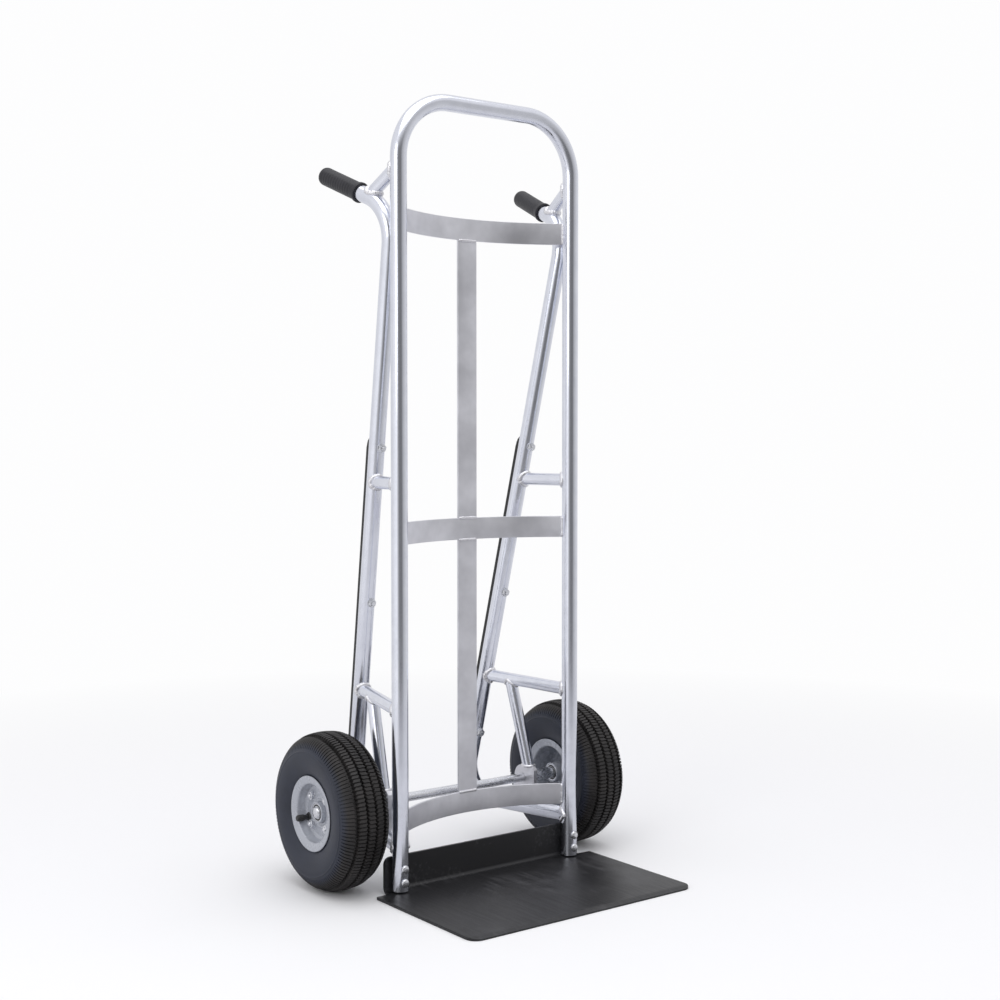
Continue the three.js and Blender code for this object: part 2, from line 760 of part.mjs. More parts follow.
function buildInnerTube(parent, label) {
  const outside = solidOf(innerTubeRing(INNER_TUBE_HALF_WIDTH, INNER_TUBE_HALF_HEIGHT));
  const inside = solidOf(innerTubeRing(
    INNER_TUBE_HALF_WIDTH - INNER_TUBE_WALL,
    INNER_TUBE_HALF_HEIGHT - INNER_TUBE_WALL,
  ));
  const wall = outside.subtract(inside).subtract(solidOf(radialValveHole(INNER_TUBE_CENTRE_RADIUS)));
  add(`inner_tube_${label}`, geometryOf(wall), tyreRubber, parent);
}

function buildValve(parent, label) {
  const stem = aroundAxle(sweep(circle(VALVE_OD / 2), valvePath(), 8), VALVE_ANGLE);
  add(`valve_stem_${label}`, stem, gripRubber, parent);
  const bore = clearRadius(VALVE_OD, SMALL_SEGMENTS);
  const cap = turned([
    [VALVE_CAP_START, bore],
    [VALVE_END + GAP, bore],
    [VALVE_END + GAP, 0],
    [VALVE_CAP_END, 0],
    [VALVE_CAP_END, VALVE_CAP_RADIUS - 1.5],
    [VALVE_CAP_END - 1.5, VALVE_CAP_RADIUS],
    [VALVE_CAP_START, VALVE_CAP_RADIUS],
  ], SMALL_SEGMENTS);
  cap.translate(0, 0, VALVE_RADIUS);
  add(`valve_cap_${label}`, aroundAxle(cap, VALVE_ANGLE), gripRubber, parent);
}

function radialValveHole(outerReach) {
  const from = new THREE.Vector3(VALVE_PLANE, 0, VALVE_RADIUS - 2);
  const to = new THREE.Vector3(VALVE_PLANE, 0, outerReach);
  return aroundAxle(roundBar(from, to, clearRadius(VALVE_OD, 8), 8), VALVE_ANGLE);
}

function rimBoltAngle(index) {
  return ((index + 0.5) * 2 * Math.PI) / RIM_BOLT_COUNT;
}

function rimBoltHoles() {
  return Array.from({ length: RIM_BOLT_COUNT }, (_, index) => {
    const from = new THREE.Vector3(DISC_FACE - 3, 0, RIM_BOLT_CIRCLE_RADIUS);
    const to = new THREE.Vector3(DISC_FACE + 3, 0, RIM_BOLT_CIRCLE_RADIUS);
    return aroundAxle(boltHole(from, to, 6), rimBoltAngle(index));
  });
}

function rimStuds() {
  return Array.from({ length: RIM_BOLT_COUNT }, (_, index) => {
    const start = DISC_FACE - SHEET - GAP - 1;
    const shank = roundBar(new THREE.Vector3(start, 0, 0), new THREE.Vector3(DISC_FACE + 7.5, 0, 0),
      BOLT_OD / 2, 6);
    const stud = join([shank, hexNut(DISC_FACE + GAP)]);
    stud.translate(0, 0, RIM_BOLT_CIRCLE_RADIUS);
    return aroundAxle(stud, rimBoltAngle(index));
  });
}

function valveDiscHole() {
  const from = new THREE.Vector3(VALVE_HOLE_START, 0, VALVE_RADIUS);
  const to = new THREE.Vector3(DISC_FACE + 3, 0, VALVE_RADIUS);
  return aroundAxle(roundBar(from, to, clearRadius(VALVE_OD, 8), 8), VALVE_ANGLE);
}

const flangeOutline = [
  [30, BEAD_SEAT_RADIUS],
  [34.8, BEAD_SEAT_RADIUS + 1],
  [37, BEAD_SEAT_RADIUS + 6],
  [38.6, RIM_RADIUS],
  [RIM_HALF_WIDTH, RIM_RADIUS - 0.6],
  [39.4, BEAD_SEAT_RADIUS + 5.5],
  [37.5, BEAD_SEAT_RADIUS - 0.6],
  [31, BEAD_SEAT_RADIUS - SHEET],
];

function buildRim(parent, label) {
  const hubHole = HUB_OD / 2 + GAP;
  const outerHalf = turned([
    [DISC_FACE, hubHole],
    [DISC_FACE, BEAD_SEAT_RADIUS - 5.5],
    [DISC_FACE + 2, BEAD_SEAT_RADIUS - 3],
    ...flangeOutline.slice().reverse(),
    [DISC_FACE - SHEET, BEAD_SEAT_RADIUS - 0.6],
    [DISC_FACE - SHEET, hubHole],
  ], RIM_SEGMENTS);
  add(`rim_outboard_half_${label}`, cut(outerHalf, [...rimBoltHoles(), valveDiscHole()]), rimPaint, parent);
  const mate = DISC_FACE - SHEET - GAP;
  const innerHalf = turned([
    [mate, hubHole],
    [mate, BEAD_SEAT_RADIUS - 0.6],
    [mate - 4, BEAD_SEAT_RADIUS],
    ...flangeOutline.map(([along, radius]) => [-along, radius]),
    [mate - 5, BEAD_SEAT_RADIUS - SHEET],
    [mate - SHEET, BEAD_SEAT_RADIUS - 5.5],
    [mate - SHEET, hubHole],
  ], RIM_SEGMENTS);
  const pressing = cut(innerHalf, [valveDiscHole(), radialValveHole(BEAD_SEAT_RADIUS + 3)]);
  add(`rim_inboard_half_${label}`, join([pressing, ...rimStuds()]), rimPaint, parent);
}

function buildHub(parent, label) {
  const spacerBore = HUB_BORE_RADIUS - 2.5;
  const outerSeat = bearingSpans.outboard[0] - GAP;
  const innerSeat = bearingSpans.inboard[1] + GAP;
  const hub = turned([
    [HUB_INNER_END, HUB_BORE_RADIUS],
    [innerSeat, HUB_BORE_RADIUS],
    [innerSeat, spacerBore],
    [outerSeat, spacerBore],
    [outerSeat, HUB_BORE_RADIUS],
    [HUB_OUTER_END, HUB_BORE_RADIUS],
    [HUB_OUTER_END, HUB_OD / 2],
    [HUB_INNER_END, HUB_OD / 2],
  ], HUB_SEGMENTS);
  add(`hub_${label}`, hub, rimPaint, parent);
  for (const [place, [from, to]] of Object.entries(bearingSpans)) {
    add(`bearing_outer_race_${place}_${label}`,
      ring(from, to, RACE_SPLIT_RADIUS, HUB_BORE_RADIUS - 2 * GAP, HUB_SEGMENTS), zincSteel, parent);
  }
}

function buildWheel({ label, side }) {
  const wheel = new THREE.Group();
  wheel.position.set(side * WHEEL_X, AXLE_Y, AXLE_Z);
  wheel.rotation.z = side < 0 ? Math.PI : 0;
  buildTyre(wheel, label);
  buildInnerTube(wheel, label);
  buildValve(wheel, label);
  buildRim(wheel, label);
  buildHub(wheel, label);
  truck.add(wheel);
}

// ---------- the whole truck ----------

buildLoopFrame();
buildCrossbars();
buildNosePlate();
buildAxle();
for (const each of SIDES) {
  buildStrut(each);
  buildGrip(each);
  buildHandleBrace(each);
  buildSpacer(`upper_spacer_${each.label}`, each.side, UPPER_SPACER_Z, UPPER_SPACER_Z);
  buildSpacer(`lower_spacer_${each.label}`, each.side, LOWER_SPACER_FRONT_Z, LOWER_SPACER_REAR_Z);
  buildAxleBrace(each);
  buildAxleBracket(each);
  buildNoseBolts(each);
  buildSkid(each);
  buildSkidBolts(each);
  buildWheel(each);
}

const bounds = new THREE.Box3().setFromObject(truck);
truck.position.y = -(bounds.min.y + bounds.max.y) / 2;
truck.updateMatrixWorld(true);

export default truck;
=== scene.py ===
"""The looks of a two-wheeled aluminium hand truck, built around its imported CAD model.

Metres, +Z up, -Y towards the load side. Every piece is made in place from the frame's
boxes and joints and from the driving dimensions below.
"""
import json
import math
import random

import bmesh
import bpy
from mathutils import Matrix, Vector


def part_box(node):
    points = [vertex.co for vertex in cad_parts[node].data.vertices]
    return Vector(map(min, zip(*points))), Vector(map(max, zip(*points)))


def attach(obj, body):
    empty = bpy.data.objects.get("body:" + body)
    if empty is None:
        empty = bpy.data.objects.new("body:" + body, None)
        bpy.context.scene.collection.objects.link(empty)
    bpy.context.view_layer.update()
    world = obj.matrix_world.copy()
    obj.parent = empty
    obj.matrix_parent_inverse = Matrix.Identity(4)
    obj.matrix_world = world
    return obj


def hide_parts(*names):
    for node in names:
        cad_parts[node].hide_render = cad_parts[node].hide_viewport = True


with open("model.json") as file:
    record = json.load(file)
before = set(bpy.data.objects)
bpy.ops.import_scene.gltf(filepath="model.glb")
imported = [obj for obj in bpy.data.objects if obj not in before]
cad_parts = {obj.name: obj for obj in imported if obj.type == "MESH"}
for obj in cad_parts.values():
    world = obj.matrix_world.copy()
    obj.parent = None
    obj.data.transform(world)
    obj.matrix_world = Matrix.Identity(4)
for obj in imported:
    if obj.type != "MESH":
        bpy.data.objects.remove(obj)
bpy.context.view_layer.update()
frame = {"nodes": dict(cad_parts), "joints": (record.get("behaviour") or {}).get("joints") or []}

TAU = 2 * math.pi
SIDES = {"left": -1, "right": 1}
X, Y, Z = Vector((1, 0, 0)), Vector((0, 1, 0)), Vector((0, 0, 1))

# ---------- driving dimensions ----------

AXLES = {joint["child"]: Vector(joint["pos_m"]) for joint in frame["joints"]}
AXLE_Y = AXLES["left_wheel"].y
AXLE_Z = AXLES["left_wheel"].z
WHEEL_X = AXLES["right_wheel"].x
RAIL_Y = AXLE_Y - 0.102

TUBE = 0.014
TUBE_BORE = 0.0115
BRACE = 0.011
BRACE_BORE = 0.009
RAIL_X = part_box("loop_frame")[1].x - TUBE
LOOP_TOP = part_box("loop_frame")[1].z - TUBE
LOOP_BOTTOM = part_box("loop_frame")[0].z
LOOP_CORNER = 0.1

STRUT_TOP = Vector((0.185, RAIL_Y + 0.0172, 1.147))
STRUT_FOOT_Z = 0.081
REARWARD_SLOPE = 0.2135
INWARD_SLOPE = 0.056
HANDLE_DIRECTION = Vector((0.16, 0.91, 0.39)).normalized()
HANDLE_LENGTH = 0.181
ELBOW_RADIUS = 0.075
FOOT_RADIUS = 0.06
GRIP_START = 0.083
GRIP_LENGTH = 0.105
GRIP_RADIUS = 0.01575

HANDLE_BRACE_TOP = 1.216
HANDLE_BRACE_REACH = 0.062
UPPER_SPACER_Z = 0.69
LOWER_SPACER_FRONT_Z = 0.3095
LOWER_SPACER_REAR_Z = 0.317
AXLE_BRACE_FROM_STRUT = 0.31

BAR_BOW = 0.063
BAR_THICKNESS = 0.005
BAR_SINK = 0.002
STRAP_WIDTH = 0.04
PLATE_THICKNESS = 0.005
SKID_WIDTH = 0.019
SKID_THICKNESS = 0.005
SKID_TOP = 0.768
SKID_BOTTOM = 0.163
SKID_BOLT_HEIGHTS = (0.752, 0.48, 0.208)
BOLT = 0.004
BOLT_HEAD = 0.004
BOLT_END = 0.002
THREAD_PITCH = 0.0013
WASHER = 0.0012
NUT_FLATS = 0.013
NUT_HEIGHT = 0.006
WELD = 0.0033
BRACE_WELD = 0.0042

BEND_STEP = math.radians(4)
BOW_STEPS = 24
CORNER_STEPS = 3
TUBE_SIDES = 48
WELD_SIDES = 10
QUARTER_TURN = [math.pi / 2 * step / 8 for step in range(9)]

random.seed(7)

# ---------- materials ----------


class Surface:
    """A Principled material whose colour, gloss and relief come from noise."""

    def __init__(self, name, metallic=0.0, roughness=0.5):
        self.material = bpy.data.materials.new(name)
        self.material.use_nodes = True
        self.tree = self.material.node_tree
        self.shader = self.tree.nodes["Principled BSDF"]
        self.shader.inputs["Metallic"].default_value = metallic
        self.shader.inputs["Roughness"].default_value = roughness
        self.relief = None

    def link(self, output, target):
        self.tree.links.new(output, target)

    def node(self, kind, **settings):
        made = self.tree.nodes.new("ShaderNode" + kind)
        for key, value in settings.items():
            setattr(made, key, value)
        return made

    def coordinates(self, scale, source="Object", offset=(0, 0, 0)):
        """Surface coordinates in metres, scaled per axis."""
        mapping = self.node("Mapping")
        mapping.inputs["Scale"].default_value = scale
        mapping.inputs["Location"].default_value = offset
        self.link(self.node("TexCoord").outputs[source], mapping.inputs["Vector"])
        return mapping.outputs["Vector"]

    def noise(self, scale, source="Object", detail=3.0, roughness=0.55):
        texture = self.node("TexNoise")
        texture.inputs["Scale"].default_value = 1
        texture.inputs["Detail"].default_value = detail
        texture.inputs["Roughness"].default_value = roughness
        size = scale if isinstance(scale, tuple) else (scale, scale, scale)
        self.link(self.coordinates(size, source), texture.inputs["Vector"])
        return texture.outputs["Fac"]

    def spread(self, value, low, high, start=0.3, end=0.7):
        """A value turned into one from low to high."""
        ranged = self.node("MapRange", clamp=True)
        limits = {"From Min": start, "From Max": end, "To Min": low, "To Max": high}
        for socket, number in limits.items():
            ranged.inputs[socket].default_value = number
        self.link(value, ranged.inputs["Value"])
        return ranged.outputs["Result"]

    def mix(self, share, first, second):
        """Two colours, each a tuple or another node's colour, mixed by a share."""
        mixer = self.node("Mix", data_type="RGBA")
        self.link(share, mixer.inputs["Factor"])
        for socket, color in ((mixer.inputs[6], first), (mixer.inputs[7], second)):
            if isinstance(color, tuple):
                socket.default_value = (*color, 1)
            else:
                self.link(color, socket)
        return mixer.outputs[2]

    def length(self, vector):
        measured = self.node("VectorMath", operation="LENGTH")
        self.link(vector, measured.inputs[0])
        return measured.outputs["Value"]

    def average(self, first, second):
        blend = self.node("Mix", data_type="FLOAT")
        blend.inputs["Factor"].default_value = 0.5
        self.link(first, blend.inputs[2])
        self.link(second, blend.inputs[3])
        return blend.outputs[0]

    def bump(self, height, distance, strength=1.0):
        relief = self.node("Bump")
        relief.inputs["Distance"].default_value = distance
        relief.inputs["Strength"].default_value = strength
        self.link(height, relief.inputs["Height"])
        if self.relief:
            self.link(self.relief, relief.inputs["Normal"])
        self.relief = relief.outputs["Normal"]
        self.link(self.relief, self.shader.inputs["Normal"])

    def clouded(self, pattern, first, second):
        """Two colours that follow a noise pattern."""
        return self.mix(self.spread(pattern, 0, 1), first, second)

    def color(self, output):
        self.link(output, self.shader.inputs["Base Color"])

    def roughness(self, first, second=None):
        """Sets the roughness by one value or by the average of two."""
        value = first if second is None else self.average(first, second)
        self.link(value, self.shader.inputs["Roughness"])


def drawn_tube():
    """Bright drawn tube: fine lines along its length, handling marks and soft waves."""
    surface = Surface("polished_tube", metallic=1.0)
    lines = surface.noise((900.0, 7.0, 1.0), "UV", 4.0)
    marks = surface.noise(34.0, detail=5.0, roughness=0.62)
    waves = surface.noise((9.0, 9.0, 3.0), detail=1.0)
    surface.color(surface.clouded(marks, (0.87, 0.89, 0.96), (0.79, 0.81, 0.885)))
    surface.roughness(surface.spread(lines, 0.1, 0.24), surface.spread(marks, 0.12, 0.3))
    surface.bump(waves, 0.006, 0.5)
    surface.bump(lines, 0.00006)
    return surface.material


def brushed_bar():
    """Satin flat bar with brush marks along its length."""
    surface = Surface("brushed_bar", metallic=1.0)
    lines = surface.noise((1600.0, 22.0, 1.0), "UV", 5.0)
    cloud = surface.noise(14.0, detail=3.0)
    surface.color(surface.clouded(cloud, (0.66, 0.66, 0.695), (0.89, 0.89, 0.93)))
    surface.roughness(surface.spread(lines, 0.4, 0.58), surface.spread(cloud, 0.38, 0.54))
    surface.bump(surface.noise((5.0, 34.0, 1.0), "UV", 2.0), 0.0012, 0.6)
    surface.bump(lines, 0.0001)
    return surface.material


def weld_metal():
    """Frosted aluminium weld with grain and slight burn tones."""
    surface = Surface("weld_metal", metallic=1.0)
    grain = surface.noise(900.0, detail=4.0)
    burn = surface.noise(70.0)
    surface.color(surface.clouded(burn, (0.93, 0.93, 0.96), (0.78, 0.77, 0.79)))
    surface.roughness(surface.spread(grain, 0.24, 0.44))
    surface.bump(grain, 0.0003)
    return surface.material


def plate_coat():
    """Black powder coat, scuffed grey where loads slide on and off."""
    surface = Surface("plate_steel")
    peel = surface.noise(420.0, detail=2.0)
    scuffs = surface.noise((170.0, 9.0, 170.0), detail=5.0, roughness=0.7)
    patches = surface.noise(7.0, detail=3.0)
    worn = surface.spread(surface.average(scuffs, patches), 0, 1, 0.52, 0.66)
    surface.color(surface.mix(worn, (0.014, 0.014, 0.016), (0.07, 0.07, 0.075)))
    surface.roughness(surface.spread(peel, 0.34, 0.46), surface.spread(scuffs, 0.3, 0.6))
    surface.bump(peel, 0.00012)
    surface.bump(scuffs, 0.00008)
    return surface.material


def zinc_plate():
    """Zinc plated steel, faintly clouded."""
    surface = Surface("zinc_steel", metallic=1.0)
    cloud = surface.noise(260.0, detail=4.0)
    surface.color(surface.clouded(cloud, (0.84, 0.85, 0.88), (0.74, 0.75, 0.78)))
    surface.roughness(surface.spread(cloud, 0.2, 0.38))
    surface.bump(cloud, 0.00006)
    return surface.material


def wheel_paint():
    """Silver grey paint with fine flake and a dusty film."""
    surface = Surface("wheel_paint", metallic=0.28)
    flake = surface.noise(2400.0, detail=2.0)
    dust = surface.noise(36.0, detail=5.0, roughness=0.65)
    body = surface.clouded(flake, (0.47, 0.49, 0.54), (0.54, 0.56, 0.61))
    surface.color(surface.mix(surface.spread(dust, 0, 0.22, 0.45, 0.75), body, (0.36, 0.365, 0.39)))
    surface.roughness(surface.spread(dust, 0.22, 0.32))
    surface.bump(surface.noise(600.0, detail=2.0), 0.00006)
    return surface.material


TREAD_EDGE = (0.113, 0.121)


def tyre_rubber():
    """Blue-grey satin sidewall turning to a dull brown-black tread, by distance from the axle."""
    surface = Surface("tyre_rubber")
    from_axle = surface.length(surface.coordinates((0, 1, 1), offset=(0, -AXLE_Y, -AXLE_Z)))
    tread = surface.spread(from_axle, 0, 1, *TREAD_EDGE)
    bloom = surface.noise(26.0, detail=5.0, roughness=0.6)
    grain = surface.noise(1100.0, detail=3.0)
    side = surface.clouded(bloom, (0.014, 0.018, 0.031), (0.026, 0.031, 0.051))
    face = surface.clouded(bloom, (0.01, 0.009, 0.0095), (0.034, 0.03, 0.029))
    surface.color(surface.mix(tread, side, face))
    surface.roughness(surface.spread(bloom, 0.42, 0.6), surface.spread(tread, 0.42, 0.62, 0, 1))
    surface.bump(grain, 0.00012)
    return surface.material


def moulded_rubber(name, dark, light, grain_scale):
    """Black moulded rubber or plastic with a fine stipple."""
    surface = Surface(name)
    stipple = surface.noise(grain_scale, detail=2.0)
    wear = surface.noise(60.0, detail=4.0)
    surface.color(surface.clouded(wear, dark, light))
    surface.roughness(surface.spread(wear, 0.3, 0.44), surface.spread(stipple, 0.34, 0.5))
    surface.bump(stipple, 0.0001)
    return surface.material


MATERIALS = {
    "polished_tube": drawn_tube(),
    "brushed_bar": brushed_bar(),
    "plate_steel": plate_coat(),
    "zinc_steel": zinc_plate(),
    "wheel_paint": wheel_paint(),
    "tyre_rubber": tyre_rubber(),
    "grip_rubber": moulded_rubber("grip_rubber", (0.007, 0.007, 0.011), (0.016, 0.0155, 0.022), 900.0),
    "valve_rubber": moulded_rubber("valve_rubber", (0.012, 0.012, 0.013), (0.03, 0.03, 0.031), 1300.0),
    "strip_plastic": moulded_rubber("strip_plastic", (0.003, 0.003, 0.0035), (0.008, 0.008, 0.009),
                                    700.0),
}
WELD_METAL = weld_metal()

# ---------- mesh helpers ----------


def lengths_along(points, closed):
    """Running distance at each point, and one more at the end of a closed loop."""
    path = points + [points[0]] if closed else points
    total = [0.0]
    for here, there in zip(path, path[1:]):
        total.append(total[-1] + (there - here).length)
    return total


def ring_mesh(name, rings, closed=False, caps=False, sharp=32):
    """A surface through rings of points, with its real size in metres as its UV map."""
    count = len(rings[0])
    around = lengths_along(max(rings, key=lambda ring: lengths_along(ring, True)[-1]), True)
    along = lengths_along([ring[0] for ring in rings], closed)
    faces, corners = [], []
    for row in range(len(rings) - (0 if closed else 1)):
        following = (row + 1) % len(rings)
        for column in range(count):
            right = (column + 1) % count
            faces.append((row * count + column, row * count + right,
                          following * count + right, following * count + column))
            corners += [(around[column], along[row]), (around[column + 1], along[row]),
                        (around[column + 1], along[row + 1]), (around[column], along[row + 1])]
    if caps:
        last = (len(rings) - 1) * count
        faces += [tuple(range(count)), tuple(range(last, last + count))]
        corners += [(p.x, p.y + p.z) for ring in (rings[0], rings[-1]) for p in ring]
    mesh = bpy.data.meshes.new(name)
    mesh.from_pydata([point for ring in rings for point in ring], [], faces)
    layer = mesh.uv_layers.new(name="UVMap")
    for loop, corner in zip(layer.data, corners):
        loop.uv = corner
    return finish_mesh(name, mesh, sharp)


def placed(name, data):
    """A new object in the scene."""
    made = bpy.data.objects.new(name, data)
    bpy.context.scene.collection.objects.link(made)
    return made


def finish_mesh(name, mesh, sharp):
    """An object of a mesh with doubled points merged, faces turned outwards and smooth shading."""
    work = bmesh.new()
    work.from_mesh(mesh)
    bmesh.ops.remove_doubles(work, verts=work.verts, dist=1e-6)
    bmesh.ops.dissolve_degenerate(work, edges=work.edges, dist=1e-7)
    bmesh.ops.recalc_face_normals(work, faces=work.faces)
    if work.calc_volume(signed=True) < 0:
        bmesh.ops.reverse_faces(work, faces=work.faces)
    work.to_mesh(mesh)
    work.free()
    mesh.shade_smooth()
    mesh.set_sharp_from_angle(angle=math.radians(sharp))
    return placed(name, mesh)


def merged(name, pieces):
    """One object made of several, which are removed."""
    work = bmesh.new()
    for piece in pieces:
        work.from_mesh(piece.data)
        bpy.data.objects.remove(piece)
    mesh = bpy.data.meshes.new(name)
    work.to_mesh(mesh)
    work.free()
    return placed(name, mesh)


def dress(piece, body, slot, *nodes, material=None):
    """Gives a piece its material, looked up by its slot unless one is given, and its body, and hides the
    CAD nodes it stands for.
    """
    piece.data.materials.clear()
    piece.data.materials.append(material or MATERIALS[slot])
    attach(piece, body)
    if nodes:
        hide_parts(*nodes)


def round_edges(piece, width):
    """Rounds the sharp edges of a piece."""
    edges = piece.modifiers.new("edges", "BEVEL")
    edges.width = width
    edges.segments = 3
    edges.limit_method = "ANGLE"
    edges.angle_limit = math.radians(40)


def direction(start, end):
    return (end - start).normalized()


def bent_path(corners, radii=()):
    """Points with directions, along straight runs joined by round bends."""
    stations = [(corners[0], direction(corners[0], corners[1]))]
    for index, radius in enumerate(radii):
        before, corner, after = corners[index:index + 3]
        incoming, outgoing = direction(before, corner), direction(corner, after)
        turn = incoming.angle(outgoing)
        axis = incoming.cross(outgoing).normalized()
        to_centre = axis.cross(incoming)
        centre = corner - incoming * radius * math.tan(turn / 2) + to_centre * radius
        steps = math.ceil(turn / BEND_STEP)
        for step in range(steps + 1):
            rotation = Matrix.Rotation(turn * step / steps, 3, axis)
            stations.append((centre - (rotation @ to_centre) * radius, rotation @ incoming))
    stations.append((corners[-1], direction(corners[-2], corners[-1])))
    return stations


def frames_on(stations):
    """Point, side and up at each station, carried along without twisting."""
    heading = stations[0][1]
    side = heading.orthogonal().normalized()
    frames = []
    for point, tangent in stations:
        side = heading.rotation_difference(tangent) @ side
        side = (side - tangent * side.dot(tangent)).normalized()
        heading = tangent
        frames.append((point, side, tangent.cross(side)))
    return frames


def circle(centre, side, up, radius, count):
    """Points round a circle that lies in the plane of two directions square to each other."""
    angles = [TAU * k / count for k in range(count)]
    return [centre + side * radius * math.cos(a) + up * radius * math.sin(a) for a in angles]


def circle_rings(stations, radius, sides=TUBE_SIDES):
    return [circle(point, side, up, radius, sides) for point, side, up in frames_on(stations)]


def coped(ring, heading, other):
    """A tube's end ring moved along its direction until it meets another round tube."""
    centre, axis, radius = other
    across = heading - axis * heading.dot(axis)
    moved = []
    for point in ring:
        offset = point - centre
        offset -= axis * offset.dot(axis)
        half = across.dot(offset)
        inside = max(half ** 2 - across.length_squared * (offset.length_squared - radius ** 2), 0)
        moved.append(point + heading * (-half - math.sqrt(inside)) / across.length_squared)
    return moved


def tube(name, stations, outer, inner, start_on=None, end_on=None):
    """A hollow tube, and its outer rings at both ends. An end may be coped to a round tube."""
    shells = []
    for radius in (outer, inner):
        rings = circle_rings(stations, radius)
        if start_on:
            rings[0] = coped(rings[0], -stations[0][1], start_on)
        if end_on:
            rings[-1] = coped(rings[-1], stations[-1][1], end_on)
        shells.append(rings)
    ends = shells[0][0], shells[0][-1]
    return ring_mesh(name, shells[0] + shells[1][::-1], closed=True), ends


def resampled(points, step, closed):
    """Evenly spaced points along a polyline."""
    path = points + [points[0]] if closed else points
    marks = lengths_along(points, closed)
    count = max(4, round(marks[-1] / step))
    places, segment = [], 0
    for index in range(count if closed else count + 1):
        distance = marks[-1] * index / count
        while segment < len(path) - 2 and marks[segment + 1] < distance:
            segment += 1
        share = (distance - marks[segment]) / max(marks[segment + 1] - marks[segment], 1e-9)
        places.append(path[segment].lerp(path[segment + 1], share))
    return places


WELDS = []
WELD_STEP = 0.0007
WELD_RIPPLE = 0.0024
WELD_SWELL = 0.14
WELD_END = 0.35
WELD_TAPER = 0.22


def weld(path, reference, closed=True, radius=WELD):
    """A rippled weld bead along a path."""
    points = resampled(path, WELD_STEP, closed)
    last = len(points) - 1
    ripples = max(1, round(lengths_along(points, closed)[-1] / WELD_RIPPLE))
    sizes = [random.uniform(0.9, 1.12) for _ in range(ripples + 1)]
    rings = []
    for index, point in enumerate(points):
        after = points[(index + 1) % len(points)] if closed else points[min(index + 1, last)]
        before = points[index - 1] if closed else points[max(index - 1, 0)]
        tangent = direction(before, after)
        up = (reference - tangent * reference.dot(tangent)).normalized()
        phase = ripples * index / len(points)
        swell = 1 + WELD_SWELL * abs(math.sin(math.pi * phase))
        taper = 1.0 if closed else min(1.0, WELD_END + WELD_TAPER * min(index, last - index))
        size = radius * swell * sizes[int(phase)] * taper
        rings.append(circle(point, up, tangent.cross(up), size, WELD_SIDES))
    WELDS.append(ring_mesh("weld", rings, closed=closed, caps=not closed, sharp=80))


def softened(outline, radius):
    """A closed outline of (x, y) points with its corners rounded, by less where points are close."""
    rounded = []
    for index, corner in enumerate(outline):
        corner = Vector(corner)
        before, after = Vector(outline[index - 1]), Vector(outline[(index + 1) % len(outline)])
        reach = min(radius, (before - corner).length * 0.45, (after - corner).length * 0.45)
        start = corner + (before - corner).normalized() * reach
        end = corner + (after - corner).normalized() * reach
        for step in range(CORNER_STEPS + 1):
            t = step / CORNER_STEPS
            rounded.append(start * (1 - t) ** 2 + corner * 2 * t * (1 - t) + end * t ** 2)
    return rounded


def at_angle(along, radius, angle):
    """A point at a distance along the X axis and an angle and radius round it."""
    return Vector((along, -radius * math.sin(angle), radius * math.cos(angle)))


def turned(name, outline, place, segments=72, soft=0.0004, sharp=32):
    """A solid turned about the X axis of a placement from (along, radius) points."""
    points = softened(outline, soft) if soft else [Vector(p) for p in outline]
    rings = []
    for index in range(segments):
        angle = TAU * index / segments
        rings.append([place @ at_angle(p.x, p.y, angle) for p in points])
    return ring_mesh(name, rings, closed=True, sharp=sharp)


def collar(start, end, bore, outside):
    """The outline of a plain ring, for turning."""
    return [(start, bore), (end, bore), (end, outside), (start, outside)]


def swept(name, section, stations, up_axis, start_on=None, end_on=None):
    """A solid bar whose (across, up) section follows a path with a steady up direction."""
    rings = []
    for point, tangent in stations:
        across = tangent.cross(up_axis).normalized()
        rings.append([point + across * p.x + up_axis * p.y for p in section])
    if start_on:
        rings[0] = coped(rings[0], -stations[0][1], start_on)
    if end_on:
        rings[-1] = coped(rings[-1], stations[-1][1], end_on)
    return ring_mesh(name, rings, caps=True)


def rectangle(width, height, radius):
    half, up = width / 2, height / 2
    return softened([(-half, -up), (half, -up), (half, up), (-half, up)], radius)


# ---------- centre lines ----------


def rail_point(side, z):
    return Vector((side * RAIL_X, RAIL_Y, z))


def rail_tube(side):
    return rail_point(side, 0), Z, TUBE


def strut_point(side, z):
    drop = STRUT_TOP.z - z
    inward, rearward = INWARD_SLOPE * drop, REARWARD_SLOPE * drop
    return Vector((side * (STRUT_TOP.x - inward), STRUT_TOP.y + rearward, z))


def strut_tube(side):
    return strut_point(side, 0), direction(strut_point(side, 0), strut_point(side, 1)), TUBE


def handle_axis(side):
    return Vector((side * HANDLE_DIRECTION.x, HANDLE_DIRECTION.y, HANDLE_DIRECTION.z))


def handle_point(side, distance):
    return Vector((side * STRUT_TOP.x, STRUT_TOP.y, STRUT_TOP.z)) + handle_axis(side) * distance


def strut_forward(side):
    """Square to the strut, from its rear face towards its front."""
    down = direction(strut_point(side, 1), strut_point(side, 0))
    across = (X - down * down.x).normalized()
    forward = across.cross(down).normalized()
    return forward if forward.y < 0 else -forward


def leg_point(side, y):
    foot, rail = strut_point(side, STRUT_FOOT_Z), rail_point(side, STRUT_FOOT_Z)
    return foot.lerp(rail, (foot.y - y) / (foot.y - rail.y))


# ---------- tubes of the frame ----------


def build_loop_frame():
    path = bent_path([rail_point(-1, LOOP_BOTTOM), rail_point(-1, LOOP_TOP),
                      rail_point(1, LOOP_TOP), rail_point(1, LOOP_BOTTOM)], [LOOP_CORNER] * 2)
    piece, _ = tube("loop_tube", path, TUBE, TUBE_BORE)
    dress(piece, "frame", "polished_tube", "loop_frame")


